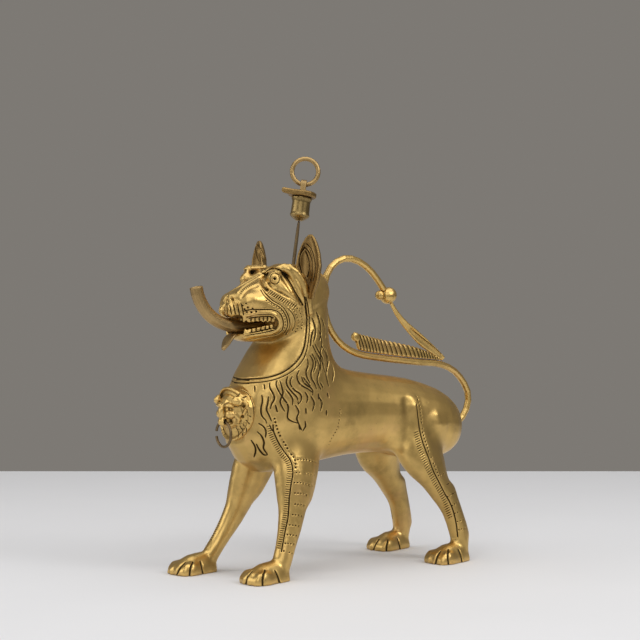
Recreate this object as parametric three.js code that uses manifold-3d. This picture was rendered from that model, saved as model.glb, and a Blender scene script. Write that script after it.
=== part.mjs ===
// Cast brass oil lamp in the form of a standing lion.
// The lion faces -Y, its left side is +X, and its paws stand on Z = 0.
// Oil goes in at the crown, below the lifted stopper, and the wick lies in the spout at the mouth.
import * as THREE from 'three';
import { mergeVertices } from 'three/addons/utils/BufferGeometryUtils.js';
import Module from 'manifold-3d';

const wasm = await Module();
wasm.setup();

// Driving dimensions, in millimetres.
const seam = 0.3;
const wall = 2.2;

const rumpY = 96;
const torsoLength = 156;
const bellyHeight = 56;
const backHeight = 106;
const torsoHalfWidth = 23.5;
const neckRise = 41;

const headLength = 63;
const headHeight = 43;
const headHalfWidth = 21;
const earLength = 34.5;
const earWidth = 17;
const earThickness = 1.8;
const earPlace = { along: 0.43, up: 0.53, out: 1.12 };
const earTurn = 15;
const browRadius = 2.4;
const mouth = { upper: 0.33, lower: 0.1, corner: 0.65 };
const teethPerRow = 6;
const toothWidth = 2.2;
const upperTooth = 4;
const lowerTooth = 2.8;

const foreHipX = 14.5;
const foreFootX = 24.8;
const foreReach = 15.5;
const foreStride = 12;
const hindHipX = 15;
const hindFootX = 30.2;
const hindReach = 23.2;
const hindStride = 8;
const pawLength = 28;
const pawWidth = 19;
const pawHeight = 12;
const toeCount = 4;

const spoutDiameter = 7;
const spoutBore = 4.8;

const plugDiameter = 11;
const plugLength = 10.5;
const plugPoint = 2.4;
const plugClearance = 0.5;
const stopperLift = 37.5;
const stopperLean = 9;
const rodDiameter = 2;
const rodLength = 34;
const flangeDiameter = 15.5;
const flangeBeak = 14;
const flangeThickness = 3;
const eyeWidth = 6;
const eyeThickness = 3;
const eyeHole = 3.8;
const eyeCentre = 3.4;
const fingerRingDiameter = 17;
const fingerRingWire = 2.6;
const ringTurn = 38;

const tailDiameter = 4;
const plumeWidth = 3.6;
const plumeRidges = 24;
const plumeFurrow = 0.45;
const plumeSlant = 0.025;
const knopDiameter = 9.2;
const bladeWidth = 5.8;
const bladeThickness = 2.4;
const bladeTwist = 0.5;
const tailSides = 8;
const tailSteps = 44;

const maskDiameter = 29;
const maskThickness = 2.6;
const maskRim = 1.4;
const maskBend = 4.6;
const maskUp = 0.61;
const maskLean = 4;
const maskStandOff = 1;
const maskHinge = -0.24;
const ringStandOff = 0.36;
const ringClearance = 0.35;
const chestRingDiameter = 15;
const chestRingWire = 1.5;
const chestRingGap = 24;

const bodySides = 26;
const headSides = 24;
const legSides = 12;

const brass = new THREE.MeshStandardMaterial({ color: 0xb58a4a, roughness: 0.36, metalness: 1 });
const darkBrass = new THREE.MeshStandardMaterial({ color: 0x7d5c38, roughness: 0.5, metalness: 1 });
const brightBrass = new THREE.MeshStandardMaterial({ color: 0xc9a35e, roughness: 0.3, metalness: 1 });

// Solids

function solidFromTriangles(points, faces) {
  const vertProperties = new Float32Array(points.flatMap((point) => [point.x, point.y, point.z]));
  return new wasm.Manifold(new wasm.Mesh({ numProp: 3, vertProperties, triVerts: new Uint32Array(faces) }));
}

function solidFromGeometry(geometry) {
  const bare = geometry.clone();
  bare.deleteAttribute('normal');
  bare.deleteAttribute('uv');
  const merged = mergeVertices(bare, 1e-4);
  const vertProperties = new Float32Array(merged.attributes.position.array);
  const triVerts = new Uint32Array(merged.index.array);
  return new wasm.Manifold(new wasm.Mesh({ numProp: 3, vertProperties, triVerts }));
}

function geometryFromSolid(solid) {
  const mesh = solid.getMesh();
  const geometry = new THREE.BufferGeometry();
  geometry.setAttribute('position', new THREE.BufferAttribute(new Float32Array(mesh.vertProperties), 3));
  geometry.setIndex(new THREE.BufferAttribute(new Uint32Array(mesh.triVerts), 1));
  geometry.computeVertexNormals();
  return geometry;
}

function join(solids) {
  return solids.reduce((whole, piece) => whole.add(piece));
}

function ringVolume(rings) {
  const first = rings[0];
  const next = rings[1];
  const normal = new THREE.Vector3();
  first.forEach((point, i) => normal.add(point.clone().cross(first[(i + 1) % first.length])));
  const advance = next[0].clone().add(next[next.length >> 1]).sub(first[0]).sub(first[first.length >> 1]);
  return normal.dot(advance);
}

// A closed solid through rings of equal count. Each end is capped rung by rung.
function loft(rings) {
  const sides = rings[0].length;
  const faces = [];
  for (let i = 0; i < rings.length - 1; i++) {
    for (let j = 0; j < sides; j++) {
      const a = i * sides + j;
      const b = i * sides + (j + 1) % sides;
      faces.push([a, b, b + sides], [a, b + sides, a + sides]);
    }
  }
  const last = (rings.length - 1) * sides;
  for (let j = 0; j < sides / 2 - 1; j++) {
    const across = sides - 1 - j;
    faces.push([j, across, j + 1]);
    faces.push([last + j, last + j + 1, last + across]);
    if (j + 1 < across - 1) {
      faces.push([j + 1, across, across - 1]);
      faces.push([last + j + 1, last + across - 1, last + across]);
    }
  }
  const outward = ringVolume(rings) > 0;
  const ordered = faces.flatMap((face) => (outward ? face : [face[0], face[2], face[1]]));
  return solidFromTriangles(rings.flat(), ordered);
}

function smooth(values, steps) {
  const curve = new THREE.CatmullRomCurve3(values, false, 'catmullrom', 0.5);
  return curve.getPoints((values.length - 1) * steps);
}

// The largest body of a cut solid, without the crumbs that a cut may leave.
function mainBody(solid) {
  return solid.decompose().reduce((largest, body) => (body.volume() > largest.volume() ? body : largest));
}

function signedPower(value, power) {
  return Math.sign(value) * Math.abs(value) ** power;
}

function boxSolid(width, depth, height, centre) {
  const geometry = new THREE.BoxGeometry(width, depth, height);
  geometry.translate(centre.x, centre.y, centre.z);
  return solidFromGeometry(geometry);
}

function ball(radii, centre, across = 16, down = 10) {
  const geometry = new THREE.SphereGeometry(1, across, down);
  geometry.rotateX(Math.PI / 2);
  geometry.scale(radii.x, radii.y, radii.z);
  geometry.translate(centre.x, centre.y, centre.z);
  return solidFromGeometry(geometry);
}

function tube(points, radius, sides, steps) {
  const section = new THREE.Shape();
  for (let i = 0; i <= sides; i++) {
    const angle = (i / sides) * 2 * Math.PI;
    const x = radius * Math.cos(angle);
    const y = radius * Math.sin(angle);
    if (i === 0) section.moveTo(x, y);
    else section.lineTo(x, y);
  }
  const path = new THREE.CatmullRomCurve3(points);
  const geometry = new THREE.ExtrudeGeometry(section, { steps, extrudePath: path, bevelEnabled: false });
  return solidFromGeometry(geometry);
}

// Side plane of the lion. Along runs from 0 at the rump to 1 at the chest.
// Up runs from 0 at the belly through 1 at the back to 2 at the nape.

function side(along, up, x = 0) {
  const torsoHeight = backHeight - bellyHeight;
  const z = up <= 1 ? bellyHeight + torsoHeight * up : backHeight + neckRise * (up - 1);
  return new THREE.Vector3(x, rumpY - torsoLength * along, z);
}

// Stations of a form: a line from its upper to its lower edge, a half width and a squareness.
// A growth moves the whole skin outward, or inward where it is below zero.
function stationRings(stations, growth, sides, steps) {
  const middles = stations.map((station) => station.top.clone().add(station.bottom).multiplyScalar(0.5));
  const grown = stations.map((station, i) => {
    const rise = station.top.clone().sub(station.bottom).normalize().multiplyScalar(growth);
    const top = station.top.clone().add(rise);
    const bottom = station.bottom.clone().sub(rise);
    const end = i === 0 ? middles[0].clone().sub(middles[1]) : middles[i].clone().sub(middles[i - 1]);
    if (i === 0 || i === stations.length - 1) {
      end.normalize().multiplyScalar(growth);
      top.add(end);
      bottom.add(end);
    }
    return { top, bottom, half: Math.max(station.half + growth, 0.4), square: station.square };
  });
  const tops = smooth(grown.map((station) => station.top), steps);
  const bottoms = smooth(grown.map((station) => station.bottom), steps);
  const shapes = smooth(grown.map((station) => new THREE.Vector3(station.half, station.square, 0)), steps);
  return tops.map((top, i) => {
    const bottom = bottoms[i];
    const middle = top.clone().add(bottom).multiplyScalar(0.5);
    const rise = top.clone().sub(middle);
    const power = 2 / shapes[i].y;
    return Array.from({ length: sides }, (unused, j) => {
      const angle = ((j + 0.5) / sides) * 2 * Math.PI;
      const point = middle.clone().addScaledVector(rise, signedPower(Math.cos(angle), power));
      point.x += shapes[i].x * signedPower(Math.sin(angle), power);
      return point;
    });
  });
}

// Torso and neck. The stations fan round the withers from the rump to the seam below the head.
const bodyOutline = [
  { top: [0, 0.48], bottom: [0, 0.34], half: 0.17, square: 2 },
  { top: [0.013, 0.62], bottom: [0.01, 0.2], half: 0.5, square: 2 },
  { top: [0.048, 0.72], bottom: [0.041, 0.07], half: 0.79, square: 2.1 },
  { top: [0.117, 0.835], bottom: [0.111, 0.01], half: 0.98, square: 2.2 },
  { top: [0.238, 0.94], bottom: [0.238, 0.05], half: 0.99, square: 2.2 },
  { top: [0.378, 0.995], bottom: [0.378, 0.11], half: 0.93, square: 2.2 },
  { top: [0.479, 1.045], bottom: [0.53, 0.1], half: 0.93, square: 2.2 },
  { top: [0.549, 1.11], bottom: [0.708, 0.03], half: 0.98, square: 2.2 },
  { top: [0.584, 1.22], bottom: [0.89, -0.03], half: 1.02, square: 2.2 },
  { top: [0.603, 1.37], bottom: [0.99, 0.27], half: 1.02, square: 2.2 },
  { top: [0.614, 1.54], bottom: [0.985, 0.76], half: 0.98, square: 2.2 },
  { top: [0.619, 1.76], bottom: [0.92, 1.15], half: 0.9, square: 2.2 },
  { top: [0.622, 2], bottom: [0.86, 1.43], half: 0.82, square: 2.2 },
];

const bodyStations = bodyOutline.map((station) => ({
  top: side(...station.top),
  bottom: side(...station.bottom),
  half: station.half * torsoHalfWidth,
  square: station.square,
}));

const neckTop = bodyStations[bodyStations.length - 1];

function haunches(growth) {
  const radii = new THREE.Vector3(torsoHalfWidth + 1.8 + growth, 24 + growth, 21 + growth);
  return ball(radii, side(0.195, 0.42), 20, 10);
}

function bodyForm(growth) {
  return join([loft(stationRings(bodyStations, growth, bodySides, 2)), haunches(growth)]);
}

// Head. Stations run from the back of the skull to the nose.

const headBack = neckTop.top.y + 1.5;
const jawBase = neckTop.bottom.z + 0.7;

function headPoint(along, up, x = 0) {
  return new THREE.Vector3(x, headBack - headLength * along, jawBase + headHeight * up);
}

const headOutline = [
  { top: [0, 0.72], bottom: [0, 0.53], half: 0.2, square: 2 },
  { top: [0.035, 0.83], bottom: [0.03, 0.4], half: 0.5, square: 2.1 },
  { top: [0.12, 0.93], bottom: [0.12, 0.26], half: 0.72, square: 2.3 },
  { top: [0.28, 0.98], bottom: [0.26, 0.13], half: 0.9, square: 2.4 },
  { top: [0.46, 0.97], bottom: [0.45, 0.05], half: 0.98, square: 2.6 },
  { top: [0.58, 0.9], bottom: [0.58, 0.02], half: 0.97, square: 2.8 },
  { top: [0.68, 0.81], bottom: [0.68, 0.01], half: 0.88, square: 2.8 },
  { top: [0.79, 0.73], bottom: [0.78, 0], half: 0.73, square: 2.6 },
  { top: [0.89, 0.655], bottom: [0.865, 0.015], half: 0.6, square: 2.6 },
  { top: [0.96, 0.59], bottom: [0.91, 0.045], half: 0.47, square: 2.5 },
  { top: [1, 0.52], bottom: [0.935, 0.12], half: 0.28, square: 2.2 },
];

const headStations = headOutline.map((station) => ({
  top: headPoint(...station.top),
  bottom: headPoint(...station.bottom),
  half: station.half * headHalfWidth,
  square: station.square,
}));

function browRidge(handed) {
  const path = [[0.68, 0.77, 0.5], [0.65, 0.86, 0.64], [0.59, 0.92, 0.76], [0.52, 0.88, 0.88],
    [0.46, 0.76, 0.95], [0.4, 0.56, 0.98], [0.36, 0.34, 0.92]];
  const run = path.map(([along, up, out]) => headPoint(along, up, handed * out * headHalfWidth));
  return tube(run, browRadius, 8, 12);
}

function muzzlePads() {
  const radii = new THREE.Vector3(0.27, 0.36, 0.27).multiplyScalar(headHalfWidth);
  return [-1, 1].map((handed) => ball(radii, headPoint(0.86, 0.48, handed * 0.36 * headHalfWidth), 14, 8));
}

function nosePad() {
  const radii = new THREE.Vector3(0.24, 0.16, 0.15).multiplyScalar(headHalfWidth);
  return ball(radii, headPoint(0.965, 0.53), 14, 8);
}

function headForm(growth) {
  const neckStump = [bodyStations[bodyStations.length - 2], neckTop,
    { ...neckTop, top: headPoint(0.06, 0.8), bottom: headPoint(0.58, 0.3), half: 0.8 * neckTop.half }];
  const forms = [headStations, neckStump].map((stations) => loft(
    stationRings(stations, growth, headSides, 2)));
  const details = [browRidge(-1), browRidge(1), ...muzzlePads(), nosePad()];
  return join([...forms, ...details]).subtract(belowSeam());
}

function headCavity() {
  const passage = [bodyStations[bodyStations.length - 2], neckTop,
    { ...neckTop, top: headPoint(0.12, 0.8), bottom: headPoint(0.5, 0.3), half: 0.8 * neckTop.half }];
  return join([headStations.slice(1, 6), passage].map((stations) => loft(
    stationRings(stations, -wall, 16, 1))));
}

// Draws an outline in the side plane, as Y and Z, and gives it a width along X.
function profileSolid(outline, width, curveSegments = 5, x = 0) {
  const geometry = new THREE.ExtrudeGeometry(outline, { depth: width, bevelEnabled: false, curveSegments });
  geometry.applyMatrix4(new THREE.Matrix4().set(0, 0, 1, x - width / 2, 1, 0, 0, 0, 0, 1, 0, 0, 0, 0, 0, 1));
  return solidFromGeometry(geometry);
}

// The mouth is cut through from side to side, so the tooth rows show.
function mouthPocket() {
  const front = headPoint(1.1, mouth.upper);
  const corner = headPoint(mouth.corner, 0.5 * (mouth.upper + mouth.lower) + 0.03);
  const upper = headPoint(mouth.corner + 0.12, mouth.upper);
  const lower = headPoint(mouth.corner + 0.1, mouth.lower);
  const outline = new THREE.Shape();
  outline.moveTo(front.y, front.z);
  outline.lineTo(upper.y, upper.z);
  outline.quadraticCurveTo(corner.y, upper.z, corner.y, corner.z);
  outline.quadraticCurveTo(corner.y, lower.z, lower.y, lower.z);
  outline.lineTo(front.y, lower.z);
  outline.closePath();
  return profileSolid(outline, 4 * headHalfWidth);
}

// One tooth tapers from its root to its tip. Upper teeth point down, lower teeth up.
function tooth(root, height) {
  const half = toothWidth / 2;
  const rings = [-0.8, Math.abs(height)].map((reach, i) => {
    const spread = i === 0 ? half : half * 0.45;
    const z = root.z + Math.sign(height) * reach;
    return [[1, 1], [1, -1], [-1, -1], [-1, 1]].map(([x, y]) => new THREE.Vector3(root.x + x * spread,
      root.y + y * spread, z));
  });
  return loft(rings);
}

function teeth() {
  const rows = [];
  for (let i = 0; i < teethPerRow; i++) {
    const along = THREE.MathUtils.lerp(0.92, mouth.corner + 0.09, i / (teethPerRow - 1));
    const out = THREE.MathUtils.lerp(0.42, 0.7, i / (teethPerRow - 1)) * headHalfWidth;
    for (const handed of [-1, 1]) {
      rows.push(tooth(headPoint(along, mouth.upper, handed * out), -upperTooth));
      rows.push(tooth(headPoint(along - 0.02, mouth.lower, handed * (out - 0.7)), lowerTooth));
    }
  }
  return rows;
}

// A slab that keeps only what lies above the seam between the neck and the head.
function belowSeam() {
  const size = 4 * headLength;
  const geometry = new THREE.BoxGeometry(size, size, size);
  const rise = neckTop.top.clone().sub(neckTop.bottom);
  geometry.translate(0, 0, seam - size / 2);
  geometry.rotateX(Math.atan2(rise.z, rise.y));
  geometry.translate(0, neckTop.bottom.y, neckTop.bottom.z);
  return solidFromGeometry(geometry);
}

// Legs. Stations run down the leg: height, share of the way from hip to foot, depths and half width.

const legTop = bellyHeight + 14;

const foreLeg = [
  { height: 1.16, share: -0.08, front: 10, rear: 16, half: 7.4 },
  { height: 1, share: 0, front: 13, rear: 20, half: 9.3 },
  { height: 0.78, share: 0.15, front: 11, rear: 17, half: 8.6 },
  { height: 0.59, share: 0.27, front: 9, rear: 13, half: 7.4 },
  { height: 0.51, share: 0.33, front: 8, rear: 9, half: 6.6 },
  { height: 0.37, share: 0.5, front: 7, rear: 7.2, half: 6 },
  { height: 0.24, share: 0.72, front: 6, rear: 6, half: 5.6 },
  { height: 0.13, share: 0.94, front: 5.6, rear: 6.6, half: 5.5 },
  { height: 0.03, share: 1.05, front: 5, rear: 5, half: 5 },
];

const hindLeg = [
  { height: 1.18, share: -0.12, front: 14, rear: 16, half: 9.6 },
  { height: 1, share: 0, front: 19, rear: 20, half: 11 },
  { height: 0.75, share: 0.22, front: 14, rear: 14.5, half: 9.8 },
  { height: 0.65, share: 0.4, front: 10.9, rear: 11.2, half: 8.4 },
  { height: 0.6, share: 0.52, front: 9.8, rear: 11.6, half: 7.8 },
  { height: 0.5, share: 0.7, front: 8.4, rear: 9, half: 6.9 },
  { height: 0.38, share: 0.88, front: 6.6, rear: 6.8, half: 6.1 },
  { height: 0.22, share: 0.98, front: 5.7, rear: 7.6, half: 5.6 },
  { height: 0.15, share: 1, front: 5.6, rear: 5.8, half: 5.5 },
  { height: 0.03, share: 0.99, front: 5, rear: 5, half: 5 },
];

// The section is round in front and drawn to a fin behind, with a flatter inner face.
function legRing(centre, station, handed) {
  return Array.from({ length: legSides }, (unused, i) => {
    const angle = (i / legSides) * 2 * Math.PI;
    const sine = Math.sin(angle);
    const cosine = Math.cos(angle);
    const reach = sine > 0 ? station.rear : station.front;
    const fin = sine > 0 ? 1 - 0.35 * sine * sine : 1;
    const inner = cosine * handed < 0 ? 0.8 : 1;
    const x = centre.x + station.half * cosine * fin * inner;
    return new THREE.Vector3(x, centre.y + reach * sine, centre.z);
  });
}

function legColumn(table, hip, foot, handed) {
  const rows = smooth(table.map((row) => new THREE.Vector3(row.height, row.share, row.half)), 2);
  const depths = smooth(table.map((row) => new THREE.Vector3(row.front, row.rear, 0)), 2);
  const rings = rows.map((row, i) => {
    const x = THREE.MathUtils.lerp(foot.x, hip.x, row.x ** 1.6) * handed;
    const centre = new THREE.Vector3(x, THREE.MathUtils.lerp(hip.y, foot.y, row.y), legTop * row.x);
    return legRing(centre, { front: depths[i].x, rear: depths[i].y, half: row.z }, handed);
  });
  return loft(rings);
}

// The paw is domed, with a flat sole, and its toes spread in front.
function paw(centre) {
  const shares = [[0.5, 0.18, 0.35], [0.44, 0.5, 0.62], [0.2, 0.72, 0.95], [-0.1, 0.86, 0.86],
    [-0.3, 0.92, 0.62], [-0.44, 0.8, 0.4]];
  const rings = shares.map(([along, wide, high]) => Array.from({ length: 14 }, (unused, i) => {
    const angle = (i / 14) * 2 * Math.PI;
    const x = centre.x + 0.5 * pawWidth * wide * Math.cos(angle);
    return new THREE.Vector3(x, centre.y + along * pawLength, pawHeight * high * Math.sin(angle));
  }));
  const toes = Array.from({ length: toeCount }, (unused, i) => {
    const spread = (i - (toeCount - 1) / 2) / toeCount;
    const lag = 0.1 * pawLength * (2 * spread) ** 2;
    const radii = new THREE.Vector3((0.6 * pawWidth) / toeCount, 0.25 * pawLength, 0.56 * pawHeight);
    const at = new THREE.Vector3(centre.x + spread * pawWidth * 0.94, centre.y - 0.27 * pawLength + lag, 0.8);
    return ball(radii, at, 8, 5);
  });
  const floor = boxSolid(4 * pawWidth, 4 * pawLength, 4 * pawHeight,
    new THREE.Vector3(centre.x, centre.y, -2 * pawHeight));
  return join([loft(rings), ...toes]).subtract(floor);
}

function leg(table, hip, foot, handed) {
  const pawCentre = new THREE.Vector3(handed * foot.x, foot.y - 0.32 * pawLength, 0);
  const floor = boxSolid(torsoLength, torsoLength, pawLength, new THREE.Vector3(0, foot.y, -pawLength / 2));
  return legColumn(table, hip, foot, handed).add(paw(pawCentre)).subtract(floor);
}

// Ears. Each is a leaf shaped cup, its hollow turned forward and a little outward.
const earOutline = [[0, 0.42], [0.12, 0.56], [0.3, 0.87], [0.5, 1], [0.7, 0.87], [0.85, 0.62], [0.95, 0.36],
  [1, 0.12]];
const earLean = {
  left: { inward: 0.07, back: 0.15, length: 1 },
  right: { inward: -0.07, back: 0.07, length: 0.95 },
};

function ear(handed) {
  const lean = handed > 0 ? earLean.left : earLean.right;
  const outline = smooth(earOutline.map(([t, breadth]) => new THREE.Vector3(t, breadth, 0)), 1);
  const rings = outline.map(({ x: t, y: breadth }) => {
    const half = 0.5 * earWidth * breadth;
    const outer = 0.56 * half + earThickness * 0.5;
    const inner = outer - earThickness;
    const ring = [];
    const steps = 8;
    for (let j = 0; j <= steps; j++) {
      const angle = (j / steps) * Math.PI;
      ring.push([half * Math.cos(angle), outer * Math.sin(angle)]);
    }
    for (let j = 0; j <= steps; j++) {
      const angle = Math.PI - (j / steps) * Math.PI;
      const narrow = half - 0.7 * Math.min(earThickness, half * 0.6);
      ring.push([narrow * Math.cos(angle), Math.max(inner, 0.1) * Math.sin(angle) - 0.25]);
    }
    const drawnIn = -handed * lean.inward * earLength * t ** 1.5;
    const drawnBack = lean.back * earLength * t ** 2.2;
    return ring.map(([x, y]) => new THREE.Vector3(x + drawnIn, y + drawnBack, t * earLength * lean.length));
  });
  const solid = loft(rings);
  const turn = THREE.MathUtils.degToRad(earTurn) * handed;
  const base = headPoint(earPlace.along, earPlace.up, handed * earPlace.out * headHalfWidth);
  const place = new THREE.Matrix4().makeRotationZ(turn).setPosition(base);
  return solid.transform(place.toArray());
}

// Spout: an open bent tube that leaves the mouth and turns up.
function spoutPath() {
  return [[0.6, 0.2], [0.72, 0.19], [0.86, 0.185], [0.96, 0.2], [1.08, 0.25], [1.18, 0.34], [1.25, 0.46],
    [1.29, 0.58], [1.305, 0.67]].map(([along, up]) => headPoint(along, up));
}

function openTube(points, outer, bore, sides, steps) {
  const rod = tube(points, outer / 2, sides, steps);
  const path = new THREE.CatmullRomCurve3(points);
  const start = path.getTangent(0).multiplyScalar(-2).add(points[0]);
  const end = path.getTangent(1).multiplyScalar(2).add(points[points.length - 1]);
  return rod.subtract(tube([start, ...points, end], bore / 2, sides, steps + 2));
}

function tongue() {
  const rows = [[0.9, 0.09, 2.2], [0.95, 0.08, 3.6], [0.985, 0.03, 4], [1.01, -0.03, 3], [1.035, -0.085, 0.8]];
  const path = smooth(rows.map(([along, up, half]) => headPoint(along, up, half)), 2);
  const rings = path.map((row) => Array.from({ length: 8 }, (unused, i) => {
    const angle = (i / 8) * 2 * Math.PI;
    return new THREE.Vector3(row.x * Math.cos(angle), row.y, row.z + 0.8 * Math.sin(angle));
  }));
  return loft(rings);
}

// Tail: one rod from the rump, along the back, up the nape and round the loop to the knop.

const tailRun = [[0.06, 0.32], [-0.03, 0.37], [-0.082, 0.508], [-0.1, 0.696], [-0.077, 0.854], [-0.022, 1.012],
  [0.048, 1.105], [0.157, 1.139], [0.331, 1.205], [0.447, 1.273], [0.516, 1.393], [0.561, 1.556],
  [0.589, 1.759], [0.6, 1.976], [0.598, 2.171], [0.584, 2.354], [0.554, 2.488], [0.505, 2.568], [0.452, 2.551],
  [0.396, 2.446], [0.35, 2.285], [0.311, 2.1]];

const knopCentre = side(0.303, 2.066);

function tailRod(growth) {
  return tube(tailRun.map(([along, up]) => side(along, up)), tailDiameter / 2 + growth, tailSides, tailSteps);
}

function knop(growth) {
  const round = (radius) => new THREE.Vector3(1, 1, 1).multiplyScalar(radius + growth);
  const lobe = side(0.34, 2.075);
  return join([ball(round(knopDiameter / 2), knopCentre, 14, 9), ball(round(0.3 * knopDiameter), lobe, 8, 6)]);
}

// The plume stands on the rod: slanted sections from the rod to its upper edge, ridge and furrow in turn.
function plume() {
  const lower = [[0.45, 1.28], [0.331, 1.205], [0.157, 1.139], [0.05, 1.105]];
  const upper = [[0.462, 1.56], [0.331, 1.46], [0.157, 1.34], [0.04, 1.2]];
  const [floorLine, topLine] = [lower, upper].map((line) => new THREE.CatmullRomCurve3(line.map(([along, up]) =>
    side(along, up))));
  const levels = [[0, 0.3], [0.3, 1], [0.75, 0.8], [1, 0.25]];
  const sections = 2 * plumeRidges + 1;
  return loft(Array.from({ length: sections }, (unused, i) => {
    const t = i / (sections - 1);
    const ridge = i % 2;
    const foot = floorLine.getPoint(Math.min(1, t + plumeSlant));
    const tip = topLine.getPoint(Math.max(0, t - plumeSlant));
    tip.z += 0.25 * plumeWidth * ridge;
    const thick = 0.5 * plumeWidth * (ridge ? 1 : plumeFurrow);
    const flank = levels.map(([rise, share]) => foot.clone().lerp(tip, rise).setX(thick * share));
    const otherFlank = flank.map((point) => point.clone().setX(-point.x)).reverse();
    return [...flank, ...otherFlank];
  }));
}

function scroll() {
  const at = side(0.455, 1.5);
  const geometry = new THREE.CylinderGeometry(2.6, 2.6, plumeWidth, 14);
  geometry.rotateZ(Math.PI / 2);
  geometry.translate(at.x, at.y, at.z);
  return solidFromGeometry(geometry);
}

// The blade: a leaf that turns about its own run from the knop down to the rod.
function blade(growth) {
  const rows = [[0.291, 2.0, 0.3], [0.26, 1.83, 0.5], [0.217, 1.67, 0.7], [0.168, 1.53, 0.95], [0.125, 1.41, 1],
    [0.075, 1.29, 0.8], [0.03, 1.18, 0.55]];
  const path = smooth(rows.map(([along, up]) => side(along, up)), 2);
  const widths = smooth(rows.map((row) => new THREE.Vector3(row[2], 0, 0)), 2);
  const rings = path.map((centre, i) => {
    const next = path[Math.min(i + 1, path.length - 1)];
    const last = path[Math.max(i - 1, 0)];
    const run = next.clone().sub(last).normalize();
    const across = new THREE.Vector3(0, run.z, -run.y).applyAxisAngle(run, bladeTwist);
    const face = run.clone().cross(across);
    const half = 0.5 * bladeWidth * widths[i].x + growth;
    return Array.from({ length: 8 }, (unused, j) => {
      const angle = (j / 8) * 2 * Math.PI;
      const point = centre.clone().addScaledVector(across, half * Math.cos(angle));
      const thick = (bladeThickness / 2) * (0.6 + 0.4 * widths[i].x) + growth;
      return point.addScaledVector(face, thick * Math.sin(angle) - 0.25 * half * Math.cos(angle) ** 2);
    });
  });
  return loft(rings);
}

// Chest mask: a disc with a raised rim and an animal's face, pierced where the ring hangs.

const maskCentre = side(0.99, maskUp);

function placeOnChest(solid) {
  const lean = new THREE.Matrix4().makeRotationX(THREE.MathUtils.degToRad(90 + maskLean));
  return solid.transform(lean.setPosition(maskCentre.x, maskCentre.y - maskStandOff, maskCentre.z).toArray());
}

function lathe(profile, segments) {
  const points = profile.map(([radius, height]) => new THREE.Vector2(radius, height));
  const geometry = new THREE.LatheGeometry(points, segments);
  geometry.rotateX(Math.PI / 2);
  return solidFromGeometry(geometry);
}

function maskDisc() {
  const radius = maskDiameter / 2;
  const rim = maskRim;
  const floor = maskThickness - 1.2;
  return lathe([[0, -8], [radius - 1, -8], [radius, -6.5], [radius, maskThickness - 0.8],
    [radius - rim / 2, maskThickness], [radius - rim, maskThickness - 0.6], [radius - rim - 0.6, floor - 0.4],
    [0.5 * radius, floor], [0, floor]], 24);
}

// The mask follows the chest, so its sides lie further back.
function bendToChest(solid) {
  return solid.warp((point) => {
    point[2] -= maskBend * (point[0] / (maskDiameter / 2)) ** 2;
  });
}

function maskFace() {
  const unit = maskDiameter / 2;
  const lump = (x, y, z, rx, ry, rz) => ball(new THREE.Vector3(rx, ry, rz).multiplyScalar(unit),
    new THREE.Vector3(x, y, z).multiplyScalar(unit), 8, 6);
  const both = (x, ...rest) => [lump(x, ...rest), lump(-x, ...rest)];
  const face = ball(new THREE.Vector3(0.7, 0.66, 0.38).multiplyScalar(unit), new THREE.Vector3(0, 0.1 * unit, 0),
    14, 8);
  const muzzle = lump(0, maskHinge, ringStandOff, 0.22, 0.2, 0.22);
  const nose = lump(0, 0.08, 0.36, 0.14, 0.32, 0.2);
  const cheeks = both(0.32, 0.02, 0.32, 0.2, 0.17, 0.14);
  const brows = both(0.28, 0.34, 0.3, 0.24, 0.1, 0.12);
  const ears = both(0.58, 0.5, 0.22, 0.16, 0.2, 0.18);
  return [face, muzzle, nose, ...cheeks, ...brows, ...ears];
}

// The ring's way through the muzzle widens to both sides, as the ring's own curve needs.
function maskPiercing() {
  const radius = (chestRingDiameter - chestRingWire) / 2;
  const reach = 0.3 * maskDiameter / 2;
  const profile = [[0, -reach]];
  for (let i = -4; i <= 4; i++) {
    const x = (i / 4) * reach;
    const sag = radius - Math.sqrt(radius * radius - x * x);
    profile.push([chestRingWire / 2 + ringClearance + sag, x]);
  }
  profile.push([0, reach]);
  const geometry = new THREE.LatheGeometry(profile.map(([r, x]) => new THREE.Vector2(r, x)), 14);
  geometry.rotateZ(Math.PI / 2);
  geometry.translate(0, maskHinge * maskDiameter / 2, ringStandOff * maskDiameter / 2);
  return solidFromGeometry(geometry);
}

function chestMask() {
  return placeOnChest(bendToChest(join([maskDisc(), ...maskFace()])).subtract(maskPiercing()));
}

const chestHinge = new THREE.Vector3(0, maskHinge * maskDiameter / 2, ringStandOff * maskDiameter / 2)
  .applyAxisAngle(new THREE.Vector3(1, 0, 0), THREE.MathUtils.degToRad(90 + maskLean))
  .add(new THREE.Vector3(0, maskCentre.y - maskStandOff, maskCentre.z));

// An open ring that hangs from the mask, with its gap at one side.
function chestRing() {
  const radius = (chestRingDiameter - chestRingWire) / 2;
  const open = THREE.MathUtils.degToRad(chestRingGap);
  const steps = 26;
  const points = Array.from({ length: steps + 1 }, (unused, i) => {
    const angle = -Math.PI / 2 + open / 2 + (i / steps) * (2 * Math.PI - open);
    return new THREE.Vector3(radius * Math.sin(angle), 0, -radius + radius * Math.cos(angle));
  });
  return tube(points, chestRingWire / 2, 8, steps).translate([0, chestHinge.y, chestHinge.z]);
}

// Stopper: plug, flange, eye, finger ring and rod, on one leaning axis through the filler hole.

const crown = headPoint(0.3, 0.962);
const lean = THREE.MathUtils.degToRad(stopperLean);
const stopperAxis = new THREE.Vector3(0, Math.sin(lean), Math.cos(lean));

const stopper = new THREE.Group();
stopper.position.copy(crown).addScaledVector(stopperAxis, stopperLift);
stopper.rotation.x = -lean;

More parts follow.
